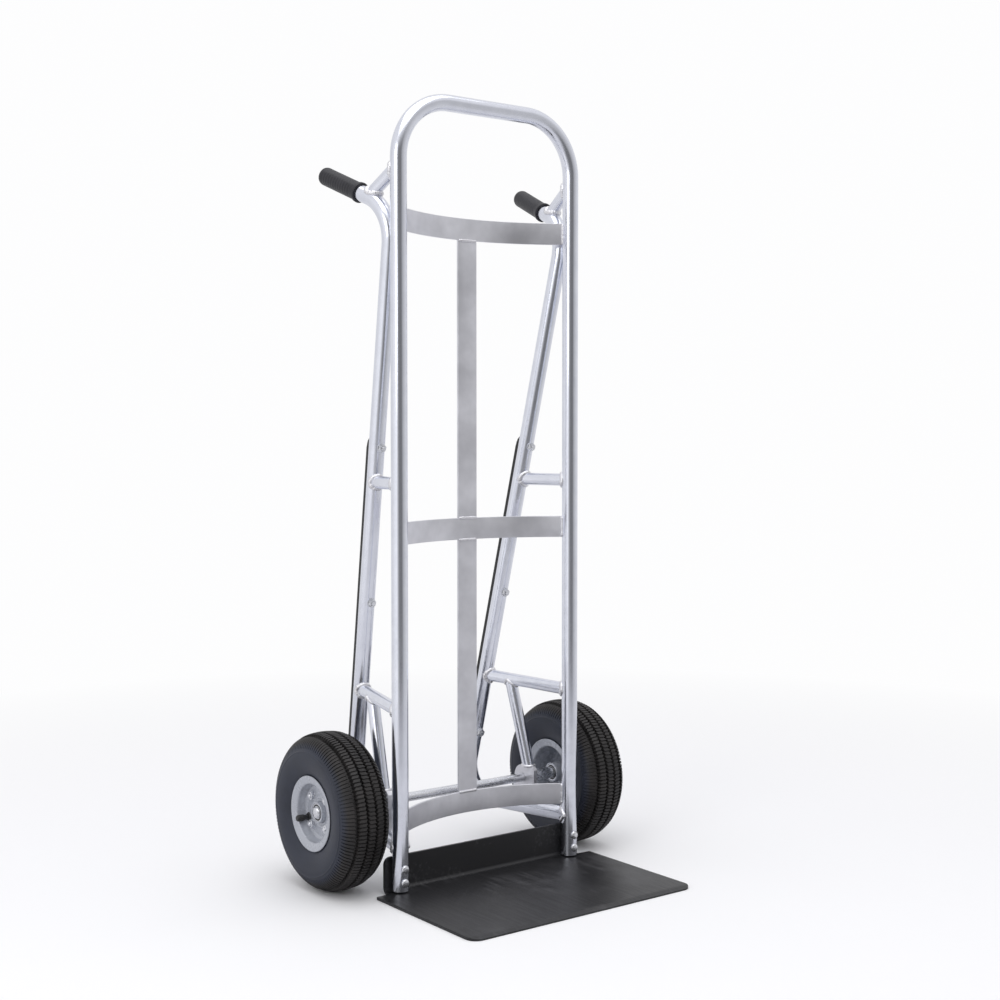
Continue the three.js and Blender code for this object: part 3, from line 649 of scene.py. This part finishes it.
def build_strut(label, side):
    path = bent_path([handle_point(side, HANDLE_LENGTH), handle_point(side, 0),
                      strut_point(side, STRUT_FOOT_Z), rail_point(side, STRUT_FOOT_Z)],
                     [ELBOW_RADIUS, FOOT_RADIUS])
    piece, ends = tube(f"strut_tube_{label}", path, TUBE, TUBE_BORE, end_on=rail_tube(side))
    dress(piece, "frame", "polished_tube", f"rear_strut_{label}")
    weld(ends[1], path[-1][1])


def build_brace(name, start, end, start_on, end_on, node):
    path = bent_path([start, end])
    piece, ends = tube(name, path, BRACE, BRACE_BORE, start_on, end_on)
    dress(piece, "frame", "polished_tube", node)
    for ring in ends:
        weld(ring, path[0][1], radius=BRACE_WELD)


def build_braces(label, side):
    handle = (handle_point(side, 0), handle_axis(side), TUBE)
    build_brace(f"handle_stay_{label}", rail_point(side, HANDLE_BRACE_TOP),
                handle_point(side, HANDLE_BRACE_REACH), rail_tube(side), handle,
                f"handle_brace_{label}")
    for place, front, rear in (("upper", UPPER_SPACER_Z, UPPER_SPACER_Z),
                               ("lower", LOWER_SPACER_FRONT_Z, LOWER_SPACER_REAR_Z)):
        build_brace(f"{place}_stay_{label}", rail_point(side, front), strut_point(side, rear),
                    rail_tube(side), strut_tube(side), f"{place}_spacer_{label}")


LEVEL_CUT = 10.0


def build_axle_brace(label, side):
    """The stay from the lower spacer down to the foot leg. Its foot is coped to a round so wide
    that it ends level."""
    front = rail_point(side, LOWER_SPACER_FRONT_Z)
    rear = strut_point(side, LOWER_SPACER_REAR_Z)
    low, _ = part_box(f"axle_brace_{label}")
    foot = Vector((leg_point(side, AXLE_Y).x, low.y + BRACE * 1.05, low.z))
    path = bent_path([rear.lerp(front, AXLE_BRACE_FROM_STRUT), foot])
    piece, ends = tube(f"axle_stay_{label}", path, BRACE, BRACE_BORE,
                       start_on=(front, direction(front, rear), BRACE),
                       end_on=(foot - Z * LEVEL_CUT, X, LEVEL_CUT))
    dress(piece, "frame", "polished_tube", f"axle_brace_{label}")
    for ring in ends:
        weld(ring, path[0][1], radius=WELD * 0.8)


# ---------- flat bars ----------


def bow_path(z):
    """The arc that a crossbar follows from rail to rail."""
    radius = (RAIL_X ** 2 + BAR_BOW ** 2) / (2 * BAR_BOW)
    centre = Vector((0, RAIL_Y + BAR_BOW - radius, z))
    half = math.asin(RAIL_X / radius)
    stations = []
    for step in range(2 * BOW_STEPS + 1):
        angle = half * (step / BOW_STEPS - 1)
        outward = Vector((math.sin(angle), math.cos(angle), 0))
        stations.append((centre + outward * radius, Vector((outward.y, -outward.x, 0))))
    return stations


WELD_SINK = 0.0004


def end_welds(stations, side, height):
    """Beads up both faces of a crossbar's end where it meets the rail."""
    end, tangent = stations[0] if side < 0 else stations[-1]
    inward = tangent if side < 0 else -tangent
    across = inward.cross(Z)
    for face in (-1, 1):
        foot = end + inward * (TUBE - WELD_SINK) + across * face * BAR_THICKNESS / 2
        weld([foot - Z * height / 2, foot + Z * height / 2], across, closed=False, radius=WELD * 0.85)


def build_crossbar(name):
    low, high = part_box(name)
    height = high.z - low.z
    stations = bow_path((low.z + high.z) / 2)
    bar = swept(f"{name}_bar", rectangle(BAR_THICKNESS, height, 0.0012), stations, Z,
                rail_tube(-1), rail_tube(1))
    dress(bar, "frame", "brushed_bar", name)
    for side in SIDES.values():
        end_welds(stations, side, height * 0.96)


def build_strap(name):
    low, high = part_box(name)
    centre_y = (low.y + high.y) / 2
    bottom, top = Vector((0, centre_y, low.z - BAR_SINK)), Vector((0, centre_y, high.z + BAR_SINK))
    strap = swept(f"{name}_bar", rectangle(BAR_THICKNESS * 0.94, STRAP_WIDTH, 0.0011),
                  bent_path([bottom, top]), X)
    dress(strap, "frame", "brushed_bar", name)
    for z in (low.z, high.z):
        for face in (-1, 1):
            seam = Vector((0, centre_y + face * BAR_THICKNESS / 2, z))
            reach = X * STRAP_WIDTH * 0.48
            weld([seam - reach, seam + reach], Y, closed=False, radius=WELD * 0.75)


# ---------- fasteners ----------


def along_x(start, axis):
    """A placement whose X axis points along an axis from a point."""
    return Matrix.Translation(start) @ X.rotation_difference(axis).to_matrix().to_4x4()


def hex_nut(name, place, height):
    """A hexagonal nut along X with chamfered corners and a countersunk bore."""
    count = 48
    apothem = NUT_FLATS / 2
    columns = []
    for index in range(count):
        angle = TAU * index / count
        reach = apothem / math.cos((angle + TAU / 12) % (TAU / 6) - TAU / 12)
        drop = max(reach - apothem * 0.96, 0) * 0.55
        profile = ((0, BOLT * 0.95), (0, apothem * 0.95), (drop, reach), (height - drop, reach),
                   (height, apothem * 0.95), (height, BOLT * 1.18), (height - BOLT * 0.2, BOLT * 0.95))
        spoke = Vector((0, math.cos(angle), math.sin(angle)))
        columns.append([place @ (spoke * radius + X * along) for along, radius in profile])
    return ring_mesh(name, [list(ring) for ring in zip(*columns)], closed=True, sharp=25)


def thread_outline(start, end, radius):
    """A threaded shank from start to end along X, with its far end chamfered."""
    chamfer = 0.0008
    points = [(start, 0.0), (start, radius)]
    for turn in range(max(1, int((end - start - 0.001) / THREAD_PITCH))):
        along = start + THREAD_PITCH * turn
        points += [(along + THREAD_PITCH * 0.3, radius), (along + THREAD_PITCH * 0.65, radius * 0.86)]
    return points + [(end - chamfer, radius), (end, radius * 0.75), (end, 0.0)]


def through_bolt(name, start, axis, grip):
    """A domed bolt head, its threaded end and its nut, clamping a given thickness."""
    place = along_x(start, axis)
    dome = [(0, 0), (0, 0.0075), (-0.0012, 0.0074), (-0.0028, 0.0058), (-0.0038, 0.003), (-BOLT_HEAD, 0)]
    head = turned("head", dome, place, 40, soft=0.0003, sharp=50)
    thread = thread_outline(-0.001, grip + NUT_HEIGHT + BOLT_END, BOLT * 0.97)
    shank = turned("shank", thread, place, 24, soft=0)
    washer = turned("washer", collar(grip, grip + WASHER, BOLT, 0.0082), place, 40, soft=0.0003)
    nut = hex_nut("nut", place @ Matrix.Translation(X * (grip + WASHER)), NUT_HEIGHT - WASHER)
    dress(merged(f"{name}_set", [head, shank, washer, nut]), "frame", "zinc_steel", name)


def build_nose_bolts(label, side):
    for level in ("lower", "upper"):
        name = f"nose_bolt_{level}_{label}"
        low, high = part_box(name)
        start = Vector((side * RAIL_X, low.y + BOLT_HEAD, (low.z + high.z) / 2))
        through_bolt(name, start, Y, high.y - low.y - BOLT_HEAD - NUT_HEIGHT - BOLT_END)


def build_skid(label, side):
    """A black wear strip on the back of the strut, with both its ends sloped off."""
    forward = strut_forward(side)
    bottom, top = strut_point(side, SKID_BOTTOM), strut_point(side, SKID_TOP)
    up = direction(bottom, top)
    across = up.cross(forward)
    inner = TUBE + 0.0002
    chamfer, crown = 0.0012, 0.0002
    edge = math.asin(SKID_WIDTH / 2 / inner)
    length = (top - bottom).length
    stations = ((0, 0.25, 0.7), (0.012, 0.85, 0.95), (0.02, 1, 1), (0.5, 1, 1), (0.965, 1, 1),
                (0.985, 0.8, 0.85), (1, 0.2, 0.4))
    rings = []
    for share, thick, wide in stations:
        centre = bottom + up * length * share
        back = inner + SKID_THICKNESS * thick
        half = SKID_WIDTH / 2 * wide
        outline = [(half, back - chamfer * thick), (half * 0.8, back - crown),
                   (-half * 0.8, back - crown), (-half, back - chamfer * thick)]
        for step in range(9):
            angle = edge * wide * (step / 4 - 1)
            outline.append((inner * math.sin(angle), inner * math.cos(angle)))
        rings.append([centre + across * a - forward * b for a, b in outline])
    strip = ring_mesh(f"wear_strip_{label}", rings, caps=True)
    dress(strip, "frame", "strip_plastic", f"skid_strip_{label}")
    head_gap = 0.0004
    rear = TUBE + SKID_THICKNESS + head_gap
    for index, z in enumerate(SKID_BOLT_HEIGHTS):
        start = strut_point(side, z) - forward * rear
        through_bolt(f"skid_bolt_{index + 1}_{label}", start, forward, rear + TUBE)


# ---------- grips ----------


def build_grip(label, side):
    """A ribbed rubber sleeve with a collar and a domed, closed end."""
    start = handle_point(side, GRIP_START)
    place = along_x(start, handle_axis(side))
    outer, bore = GRIP_RADIUS, TUBE + 0.0001
    hollow = HANDLE_LENGTH - GRIP_START + 0.0004
    dome = ((0, 0), (0.0006, 0.45), (0.0024, 0.74), (0.0055, 0.94), (0.009, 1))
    outline = [(0, bore), (hollow, bore), (hollow, 0)]
    outline += [(GRIP_LENGTH - back, outer * share) for back, share in dome]
    ribs, depth = 12, 0.0004
    first, last = GRIP_LENGTH - 0.014, 0.012
    pitch = (first - last) / ribs
    for rib in range(ribs):
        along = first + (last - first) * rib / ribs
        outline += [(along, outer), (along - pitch * 0.22, outer - depth), (along - pitch * 0.44, outer)]
    outline += [(0.0072, outer), (0.006, outer + 0.0018), (0.0012, outer + 0.002), (0, outer + 0.001)]
    grip = turned(f"grip_sleeve_{label}", outline, place, 64, soft=0.0006, sharp=60)
    dress(grip, "frame", "grip_rubber", f"grip_{label}")


# ---------- nose plate ----------


def plate_profile():
    """Stations of the plate from its front edge, round the bend and up the flange: the place
    (y, z) of the sheet's middle, its normal (y, z), half width and share of full thickness."""
    low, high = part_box("nose_plate")
    half, tongue = (high.x - low.x) / 2, 0.206
    corner, flange_corner, bend, lip = 0.02, 0.012, 0.009, 0.012
    middle = PLATE_THICKNESS / 2
    flange_y = high.y - middle
    stations = []
    for angle in QUARTER_TURN:
        width = half - corner * (1 - math.sin(angle))
        y = low.y + corner * (1 - math.cos(angle))
        stations.append((y, middle, 0.0, 1.0, width, min(1.0, 0.5 + 0.5 * (y - low.y) / lip)))
    stations.append((RAIL_Y - 0.001, middle, 0.0, 1.0, half, 1.0))
    stations.append((RAIL_Y + 0.0008, middle, 0.0, 1.0, tongue, 1.0))
    centre_y, centre_z = flange_y - bend, middle + bend
    for angle in QUARTER_TURN:
        stations.append((centre_y + bend * math.sin(angle), centre_z - bend * math.cos(angle),
                         -math.sin(angle), math.cos(angle), tongue, 1.0))
    for angle in QUARTER_TURN:
        width = tongue - flange_corner * (1 - math.cos(angle))
        stations.append((flange_y, high.z - flange_corner * (1 - math.sin(angle)), -1.0, 0.0, width, 1.0))
    return stations


def build_nose_plate():
    rings = []
    for y, z, normal_y, normal_z, width, share in plate_profile():
        normal = Vector((0, normal_y, normal_z))
        base = Vector((0, y, z)) - normal * PLATE_THICKNESS / 2
        top = base + normal * PLATE_THICKNESS * share
        rings.append([base - X * width, base + X * width, top + X * width, top - X * width])
    plate = ring_mesh("toe_plate", rings, caps=True)
    round_edges(plate, 0.0009)
    dress(plate, "frame", "plate_steel", "nose_plate")


# ---------- axle ----------


def build_axle():
    low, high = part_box("axle")
    radius = (high.z - low.z) / 2
    place = Matrix.Translation(Vector((0, AXLE_Y, AXLE_Z)))
    outline = [(low.x, 0), (low.x, radius), (high.x, radius), (high.x, 0)]
    axle = turned("axle_bar", outline, place, 48, soft=0.0008)
    dress(axle, "frame", "zinc_steel", "axle")


def wheel_place(side):
    turn = Matrix.Rotation(math.pi if side < 0 else 0, 4, "Z")
    return Matrix.Translation(Vector((side * WHEEL_X, AXLE_Y, AXLE_Z))) @ turn


def span(node, side):
    """How far a node reaches along the axle, measured outwards from the wheel's middle."""
    low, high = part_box(node)
    return sorted(side * x - WHEEL_X for x in (low.x, high.x))


def build_axle_rings(label, side):
    place = wheel_place(side)
    inner, sleeve, race = 0.0081, 0.0107, 0.0111
    start, end = span(f"axle_spacer_{label}", side)
    spacer = turned(f"spacer_sleeve_{label}", collar(start, end, inner, sleeve), place)
    dress(spacer, "frame", "zinc_steel", f"axle_spacer_{label}")
    start, end = span(f"axle_cap_{label}", side)
    outline = [(start, inner), (end - 0.002, inner), (end - 0.002, 0), (end, 0), (end - 0.0003, 0.005),
               (end - 0.0014, 0.0084), (start + 0.0016, 0.0094), (start + 0.0012, 0.01), (start, 0.01)]
    cap = turned(f"push_cap_{label}", outline, place, sharp=50)
    dress(cap, "frame", "zinc_steel", f"axle_cap_{label}")
    for spot in ("outboard", "inboard"):
        start, end = span(f"bearing_inner_race_{spot}_{label}", side)
        ring = turned(f"inner_ring_{spot}_{label}", collar(start, end, inner, race), place, soft=0.0003)
        dress(ring, "frame", "zinc_steel", f"bearing_inner_race_{spot}_{label}")


# ---------- wheels ----------

TREAD_PITCHES = 124
TREAD_PHASES = (0.0, 0.12, 0.16, 0.34, 0.38, 0.5, 0.62, 0.66, 0.84, 0.88)
ZIGZAG = 0.0014
NOTCH = 0.003
NOTCH_HALF = 0.14
SECTION_CENTRE = 0.098


def tyre_columns():
    """The outer half section as (across, radius, zigzag, notch), from bead to crown. A
    negative notch falls half a tread pitch away from a positive one."""
    smooth = [(27.5, 52.4), (34, 52.9), (37.0, 58.5), (37.6, 64.5), (39.3, 66.5), (41.6, 72), (44.6, 80),
              (46.2, 88), (46.9, 95), (46.9, 99.5), (46.5, 103.5), (46.9, 104.4), (46.6, 105.6),
              (45.7, 106.4), (44.9, 109.5)]
    wall = [(u, r, 0, 0) for u, r in smooth]
    shoulder = [(44.4, 110.7, 0, 0.35), (43.1, 114.6, 0, 0.6), (40.9, 118.6, 0, 0.7),
                (37.6, 122.5, 0.1, 0.75), (34.4, 125.1, 0.4, 0.7), (31.0, 127.3, 0.9, 0.6)]
    ribs = [(30.0, 127.9, 1, 0.2), (28.6, 122.4, 1, 0), (23.9, 123.4, 1, 0), (22.7, 131.2, 1, -0.9),
            (16.8, 132.6, 1, -0.7), (11.0, 133.3, 1, -0.9), (10.0, 127.2, 1, 0), (6.9, 127.4, 1, 0),
            (6.0, 133.8, 1, 0.9), (0, 134, 1, 0.7)]
    return [(u / 1000, r / 1000, zig, notch) for u, r, zig, notch in wall + shoulder + ribs]


def zigzag(phase):
    """A triangle wave from -1 to 1 over one tread pitch."""
    return 1 - 4 * abs((phase + 0.25) % 1 - 0.5)


def build_tyre(label, side, body):
    place = wheel_place(side)
    half = tyre_columns()
    liner = [(20, 125), (39, 108), (39, 86), (29, 63)]
    columns = half + [(-u, r, zig, notch) for u, r, zig, notch in reversed(half[:-1])]
    columns += [(-u / 1000, r / 1000, 0, 0) for u, r in reversed(liner)]
    columns += [(u / 1000, r / 1000, 0, 0) for u, r in liner]
    rings = []
    for pitch in range(TREAD_PITCHES):
        for phase in TREAD_PHASES:
            angle = TAU * (pitch + phase) / TREAD_PITCHES
            wave = ZIGZAG * zigzag(phase)
            middle = abs(phase - 0.5) < NOTCH_HALF
            between = min(phase, 1 - phase) < NOTCH_HALF
            ring = []
            for across, radius, zig, notch in columns:
                depth = NOTCH * abs(notch) if (middle if notch > 0 else between) else 0.0
                away = Vector((across, radius - SECTION_CENTRE)).normalized() * depth
                ring.append(place @ at_angle(across + wave * zig - away.x, radius - away.y, angle))
            rings.append(ring)
    tyre = ring_mesh(f"tyre_cover_{label}", rings, closed=True, sharp=28)
    dress(tyre, body, "tyre_rubber", f"tyre_{label}")


def rim_outlines():
    """Closed outlines of the outer and inner rim pressings."""
    flange = [(30, 51), (34.6, 51.6), (36.6, 55), (37.6, 61), (38.6, 63.6), (40.1, 64), (41, 62.9),
              (39.7, 57), (38.2, 51.5), (36.6, 49.4), (31, 48.5)]
    outer = [(20, 18.3), (20, 22), (20.9, 23.5), (20.9, 27), (20, 28.4), (20, 41.2), (21.1, 43.6),
             (21.8, 46.4)] + flange[::-1] + [(19.1, 50.4), (17.5, 48), (17.5, 18.3)]
    inner = [(17.2, 18.3), (17.2, 48), (16.7, 50.4), (13.2, 51)] + [(-u, r) for u, r in flange]
    inner += [(9.5, 48.5), (13.9, 46), (14.7, 43), (14.7, 18.3)]
    return [[(u / 1000, r / 1000) for u, r in outline] for outline in (outer, inner)]


DISC_FACE = 0.02
STUD_CIRCLE = 0.034
STUD_COUNT = 4
CLAMPED = 0.0053


def rim_bolts(place):
    """Studs with washers and nuts that clamp the two pressings together."""
    dome = [(0, 0), (0, 0.0065), (0.0008, 0.0065), (0.0026, 0.0045), (0.0031, 0)]
    pieces = []
    for index in range(STUD_COUNT):
        around = Matrix.Rotation(TAU * (index + 0.5) / STUD_COUNT, 4, "X")
        spot = place @ around @ Matrix.Translation(Vector((DISC_FACE, 0, STUD_CIRCLE)))
        pieces.append(turned("stud", thread_outline(-0.006, 0.0092, BOLT * 0.95), spot, 24, soft=0))
        pieces.append(turned("washer", collar(0, WASHER, BOLT, 0.0078), spot, 40, soft=0.0003))
        pieces.append(hex_nut("nut", spot @ Matrix.Translation(X * WASHER), 0.0056))
        back = spot @ Matrix.Translation(X * -CLAMPED) @ Matrix.Rotation(math.pi, 4, "Z")
        pieces.append(turned("head", dome, back, 32, soft=0.0003, sharp=50))
    return pieces


def build_rim(label, side, body):
    place = wheel_place(side)
    outer, inner = rim_outlines()
    pressing = turned(f"rim_outer_pressing_{label}", outer, place, 128, soft=0.0012)
    dress(pressing, body, "wheel_paint", f"rim_outboard_half_{label}")
    pressing = turned(f"rim_inner_pressing_{label}", inner, place, 128, soft=0.0012)
    dress(pressing, body, "wheel_paint", f"rim_inboard_half_{label}")
    dress(merged(f"rim_bolts_{label}", rim_bolts(place)), body, "zinc_steel")


def build_hub(label, side, body):
    place = wheel_place(side)
    start, end = span(f"hub_{label}", side)
    seat, bore, wall, seat_depth = 0.0156, 0.0135, 0.018, 0.0125
    outline = [(start, seat), (start + seat_depth, seat), (start + seat_depth, bore),
               (end - seat_depth, bore), (end - seat_depth, seat), (end, seat), (end, wall),
               (start, wall)]
    hub = turned(f"hub_barrel_{label}", outline, place, 96, soft=0.0009)
    dress(hub, body, "wheel_paint", f"hub_{label}")
    for spot in ("outboard", "inboard"):
        start, end = span(f"bearing_outer_race_{spot}_{label}", side)
        ring = collar(start, end, 0.0137, 0.0154)
        race = turned(f"outer_ring_{spot}_{label}", ring, place, soft=0.0003)
        dress(race, body, "zinc_steel", f"bearing_outer_race_{spot}_{label}")
        dished = [(0.0006, 0.01125), (0.0009, 0.0125), (0.0005, 0.0136)]
        outline = [(end - inset, r) for inset, r in dished]
        outline += [(start + inset, r) for inset, r in reversed(dished)]
        shield = turned(f"bearing_shield_{spot}_{label}", outline, place, soft=0.0003)
        dress(shield, body, "valve_rubber")


VALVE_ANGLE = 1.95
VALVE_RADIUS = 0.042
STEM = 0.004
STEM_FOOT = Vector((0.006, 0, 0.07))
STEM_BEND = 0.006
STEM_END = 0.04


def build_valve(label, side, body):
    place = wheel_place(side) @ Matrix.Rotation(VALVE_ANGLE, 4, "X")
    start, end = span(f"valve_cap_{label}", side)
    corner, tip = Vector((STEM_FOOT.x, 0, VALVE_RADIUS)), Vector((STEM_END, 0, VALVE_RADIUS))
    corners = [place @ point for point in (STEM_FOOT, corner, tip)]
    rings = circle_rings(bent_path(corners, [STEM_BEND]), STEM, 32)
    stem = ring_mesh(f"valve_stem_tube_{label}", rings, caps=True)
    dress(stem, body, "valve_rubber", f"valve_stem_{label}")
    axis = place @ Matrix.Translation(Vector((0, 0, VALVE_RADIUS)))
    bore, outer = STEM + 0.0001, 0.0056
    hollow = STEM_END + 0.0002
    outline = [(start, bore), (hollow, bore), (hollow, 0), (end, 0), (end, 0.0036),
               (end - 0.0006, 0.0045), (end - 0.0014, 0.005)]
    grooves, pitch = 7, 0.0012
    for groove in range(grooves):
        along = end - 0.0024 - groove * pitch
        outline += [(along, outer), (along - 0.0004, 0.0051), (along - 0.0008, outer)]
    outline += [(start + 0.0008, outer), (start, 0.0052)]
    cap = turned("cap", outline, axis, 40, soft=0.0002)
    seal = [(0.0191, bore), (0.022, bore), (0.0222, 0.0062), (0.0201, 0.0078), (0.0191, 0.0078)]
    grommet = turned("grommet", seal, axis, 40, soft=0.0005)
    dress(merged(f"valve_cap_cover_{label}", [cap, grommet]), body, "valve_rubber", f"valve_cap_{label}")


def build_wheel(label, side):
    body = f"{label}_wheel"
    build_tyre(label, side, body)
    build_rim(label, side, body)
    build_hub(label, side, body)
    build_valve(label, side, body)


# ---------- CAD nodes that stay ----------


def keep_node(name, slot, bevel):
    """A CAD node that stays on show, with its edges rounded where a bevel is given."""
    node = frame["nodes"][name]
    node.data.materials.clear()
    node.data.materials.append(MATERIALS[slot])
    if bevel:
        round_edges(node, bevel)


# ---------- the truck ----------

build_loop_frame()
build_nose_plate()
build_axle()
for crossbar in ("upper_crossbar", "middle_crossbar", "lower_crossbar"):
    build_crossbar(crossbar)
for strap in ("upper_centre_strap", "lower_centre_strap"):
    build_strap(strap)
for label, side in SIDES.items():
    build_strut(label, side)
    build_braces(label, side)
    build_axle_brace(label, side)
    build_grip(label, side)
    build_nose_bolts(label, side)
    build_skid(label, side)
    build_axle_rings(label, side)
    build_wheel(label, side)
    keep_node(f"axle_bracket_{label}", "brushed_bar", 0.0008)
    keep_node(f"inner_tube_{label}", "tyre_rubber", 0)
dress(merged("weld_beads", WELDS), "frame", "polished_tube", material=WELD_METAL)

# ---------- studio ----------

VIEW_TURN = math.radians(37.196)
VIEW_DOWN = math.radians(2.574)
CAMERA_PLACE = Vector((-1.5937, RAIL_Y - 2.1339, 0.7783))
BACKDROP = (0.985, 0.985, 0.99)


def build_camera():
    data = bpy.data.cameras.new("camera")
    data.lens = 55.375
    data.sensor_width = 36
    camera = placed("camera", data)
    camera.location = CAMERA_PLACE
    camera.rotation_euler = (math.pi / 2 - VIEW_DOWN, 0, -VIEW_TURN)
    bpy.context.scene.camera = camera


def shader_mix(surface, share, first, second):
    blend = surface.node("MixShader")
    surface.link(share, blend.inputs["Fac"])
    surface.link(first, blend.inputs[1])
    surface.link(second, blend.inputs[2])
    return blend.outputs[0]


def build_floor():
    """A wide pale floor. Far from the truck it fades into the backdrop's tone for the camera,
    and lets all other light through."""
    reach = 40.0
    fade_start, fade_end = 0.9, 2.4
    mesh = bpy.data.meshes.new("floor")
    mesh.from_pydata([(-reach, -reach, 0), (reach, -reach, 0), (reach, reach, 0), (-reach, reach, 0)], [],
                     [(0, 1, 2, 3)])
    floor = placed("floor", mesh)
    surface = Surface("floor_paint", roughness=0.8)
    from_middle = surface.length(surface.coordinates((1, 1, 1)))
    far = surface.spread(from_middle, 0, 1, fade_start, fade_end)
    seen = surface.node("LightPath").outputs["Is Camera Ray"]
    surface.color(surface.mix(seen, (0.66, 0.66, 0.68), (0.97, 0.97, 0.98)))
    glow = surface.node("Emission")
    glow.inputs["Color"].default_value = (*BACKDROP, 1)
    open_air = surface.node("BsdfTransparent")
    distance = shader_mix(surface, seen, open_air.outputs[0], glow.outputs[0])
    whole = shader_mix(surface, far, surface.shader.outputs[0], distance)
    surface.link(whole, surface.tree.nodes["Material Output"].inputs["Surface"])
    mesh.materials.append(surface.material)


# (share of a turn, grey level), from beyond the truck and round by the camera's left.
STUDIO_SWEEP = [(0.0, 0.8), (0.22, 0.74), (0.31, 0.88), (0.41, 0.94), (0.455, 0.46), (0.5, 0.19),
                (0.6, 0.17), (0.66, 0.45), (0.76, 0.64), (0.86, 0.74), (1.0, 0.8)]


def ramp(tree, value, stops):
    """A value turned into grey levels by stops of (place, level)."""
    made = tree.nodes.new("ShaderNodeValToRGB")
    elements = made.color_ramp.elements
    while len(elements) < len(stops):
        elements.new(0.5)
    for element, (place, level) in zip(elements, sorted(stops)):
        element.position = place
        element.color = (level, level, level * 1.02, 1)
    tree.links.new(value, made.inputs["Fac"])
    return made.outputs["Color"]


def tinted(tree, share, first, color):
    """A node's colour mixed with a plain one by a share."""
    mixer = tree.nodes.new("ShaderNodeMix")
    mixer.data_type = "RGBA"
    mixer.inputs[7].default_value = (*color, 1)
    tree.links.new(share, mixer.inputs["Factor"])
    tree.links.new(first, mixer.inputs[6])
    return mixer.outputs[2]


def build_world():
    """A bright studio, dim behind the camera, which tubes reflect as a dark stripe, and
    brightest to the camera's left. The camera itself sees only the plain backdrop."""
    world = bpy.data.worlds.new("studio")
    bpy.context.scene.world = world
    world.use_nodes = True
    tree = world.node_tree
    new, link = tree.nodes.new, tree.links.new
    place = new("ShaderNodeTexCoord").outputs["Generated"]
    turned_place = new("ShaderNodeMapping")
    turned_place.inputs["Rotation"].default_value = (0, 0, VIEW_TURN + math.pi / 2)
    link(place, turned_place.inputs["Vector"])
    round_about = new("ShaderNodeTexGradient")
    round_about.gradient_type = "RADIAL"
    link(turned_place.outputs["Vector"], round_about.inputs["Vector"])
    sweep = ramp(tree, round_about.outputs["Fac"], STUDIO_SWEEP)
    split = new("ShaderNodeSeparateXYZ")
    link(place, split.inputs[0])
    height = new("ShaderNodeMapRange")
    height.inputs["From Min"].default_value = 0.3
    height.inputs["From Max"].default_value = 0.62
    link(split.outputs["Z"], height.inputs["Value"])
    dome = tinted(tree, height.outputs["Result"], sweep, (0.8, 0.8, 0.82))
    seen = tinted(tree, new("ShaderNodeLightPath").outputs["Is Camera Ray"], dome, BACKDROP)
    link(seen, tree.nodes["Background"].inputs["Color"])


def add_light(name, place, target, size, watts):
    data = bpy.data.lights.new(name, "AREA")
    data.energy = watts
    data.size = size
    light = placed(name, data)
    light.location = place
    light.rotation_euler = (Vector(target) - Vector(place)).to_track_quat("-Z", "Y").to_euler()


build_camera()
build_floor()
build_world()
add_light("overhead", (-0.4, -0.6, 3.4), (0, 0, 0.3), 3.0, 34)
add_light("side", (-3.2, -1.2, 1.8), (0, 0, 0.6), 1.6, 12)
bpy.context.scene.view_settings.view_transform = "Standard"
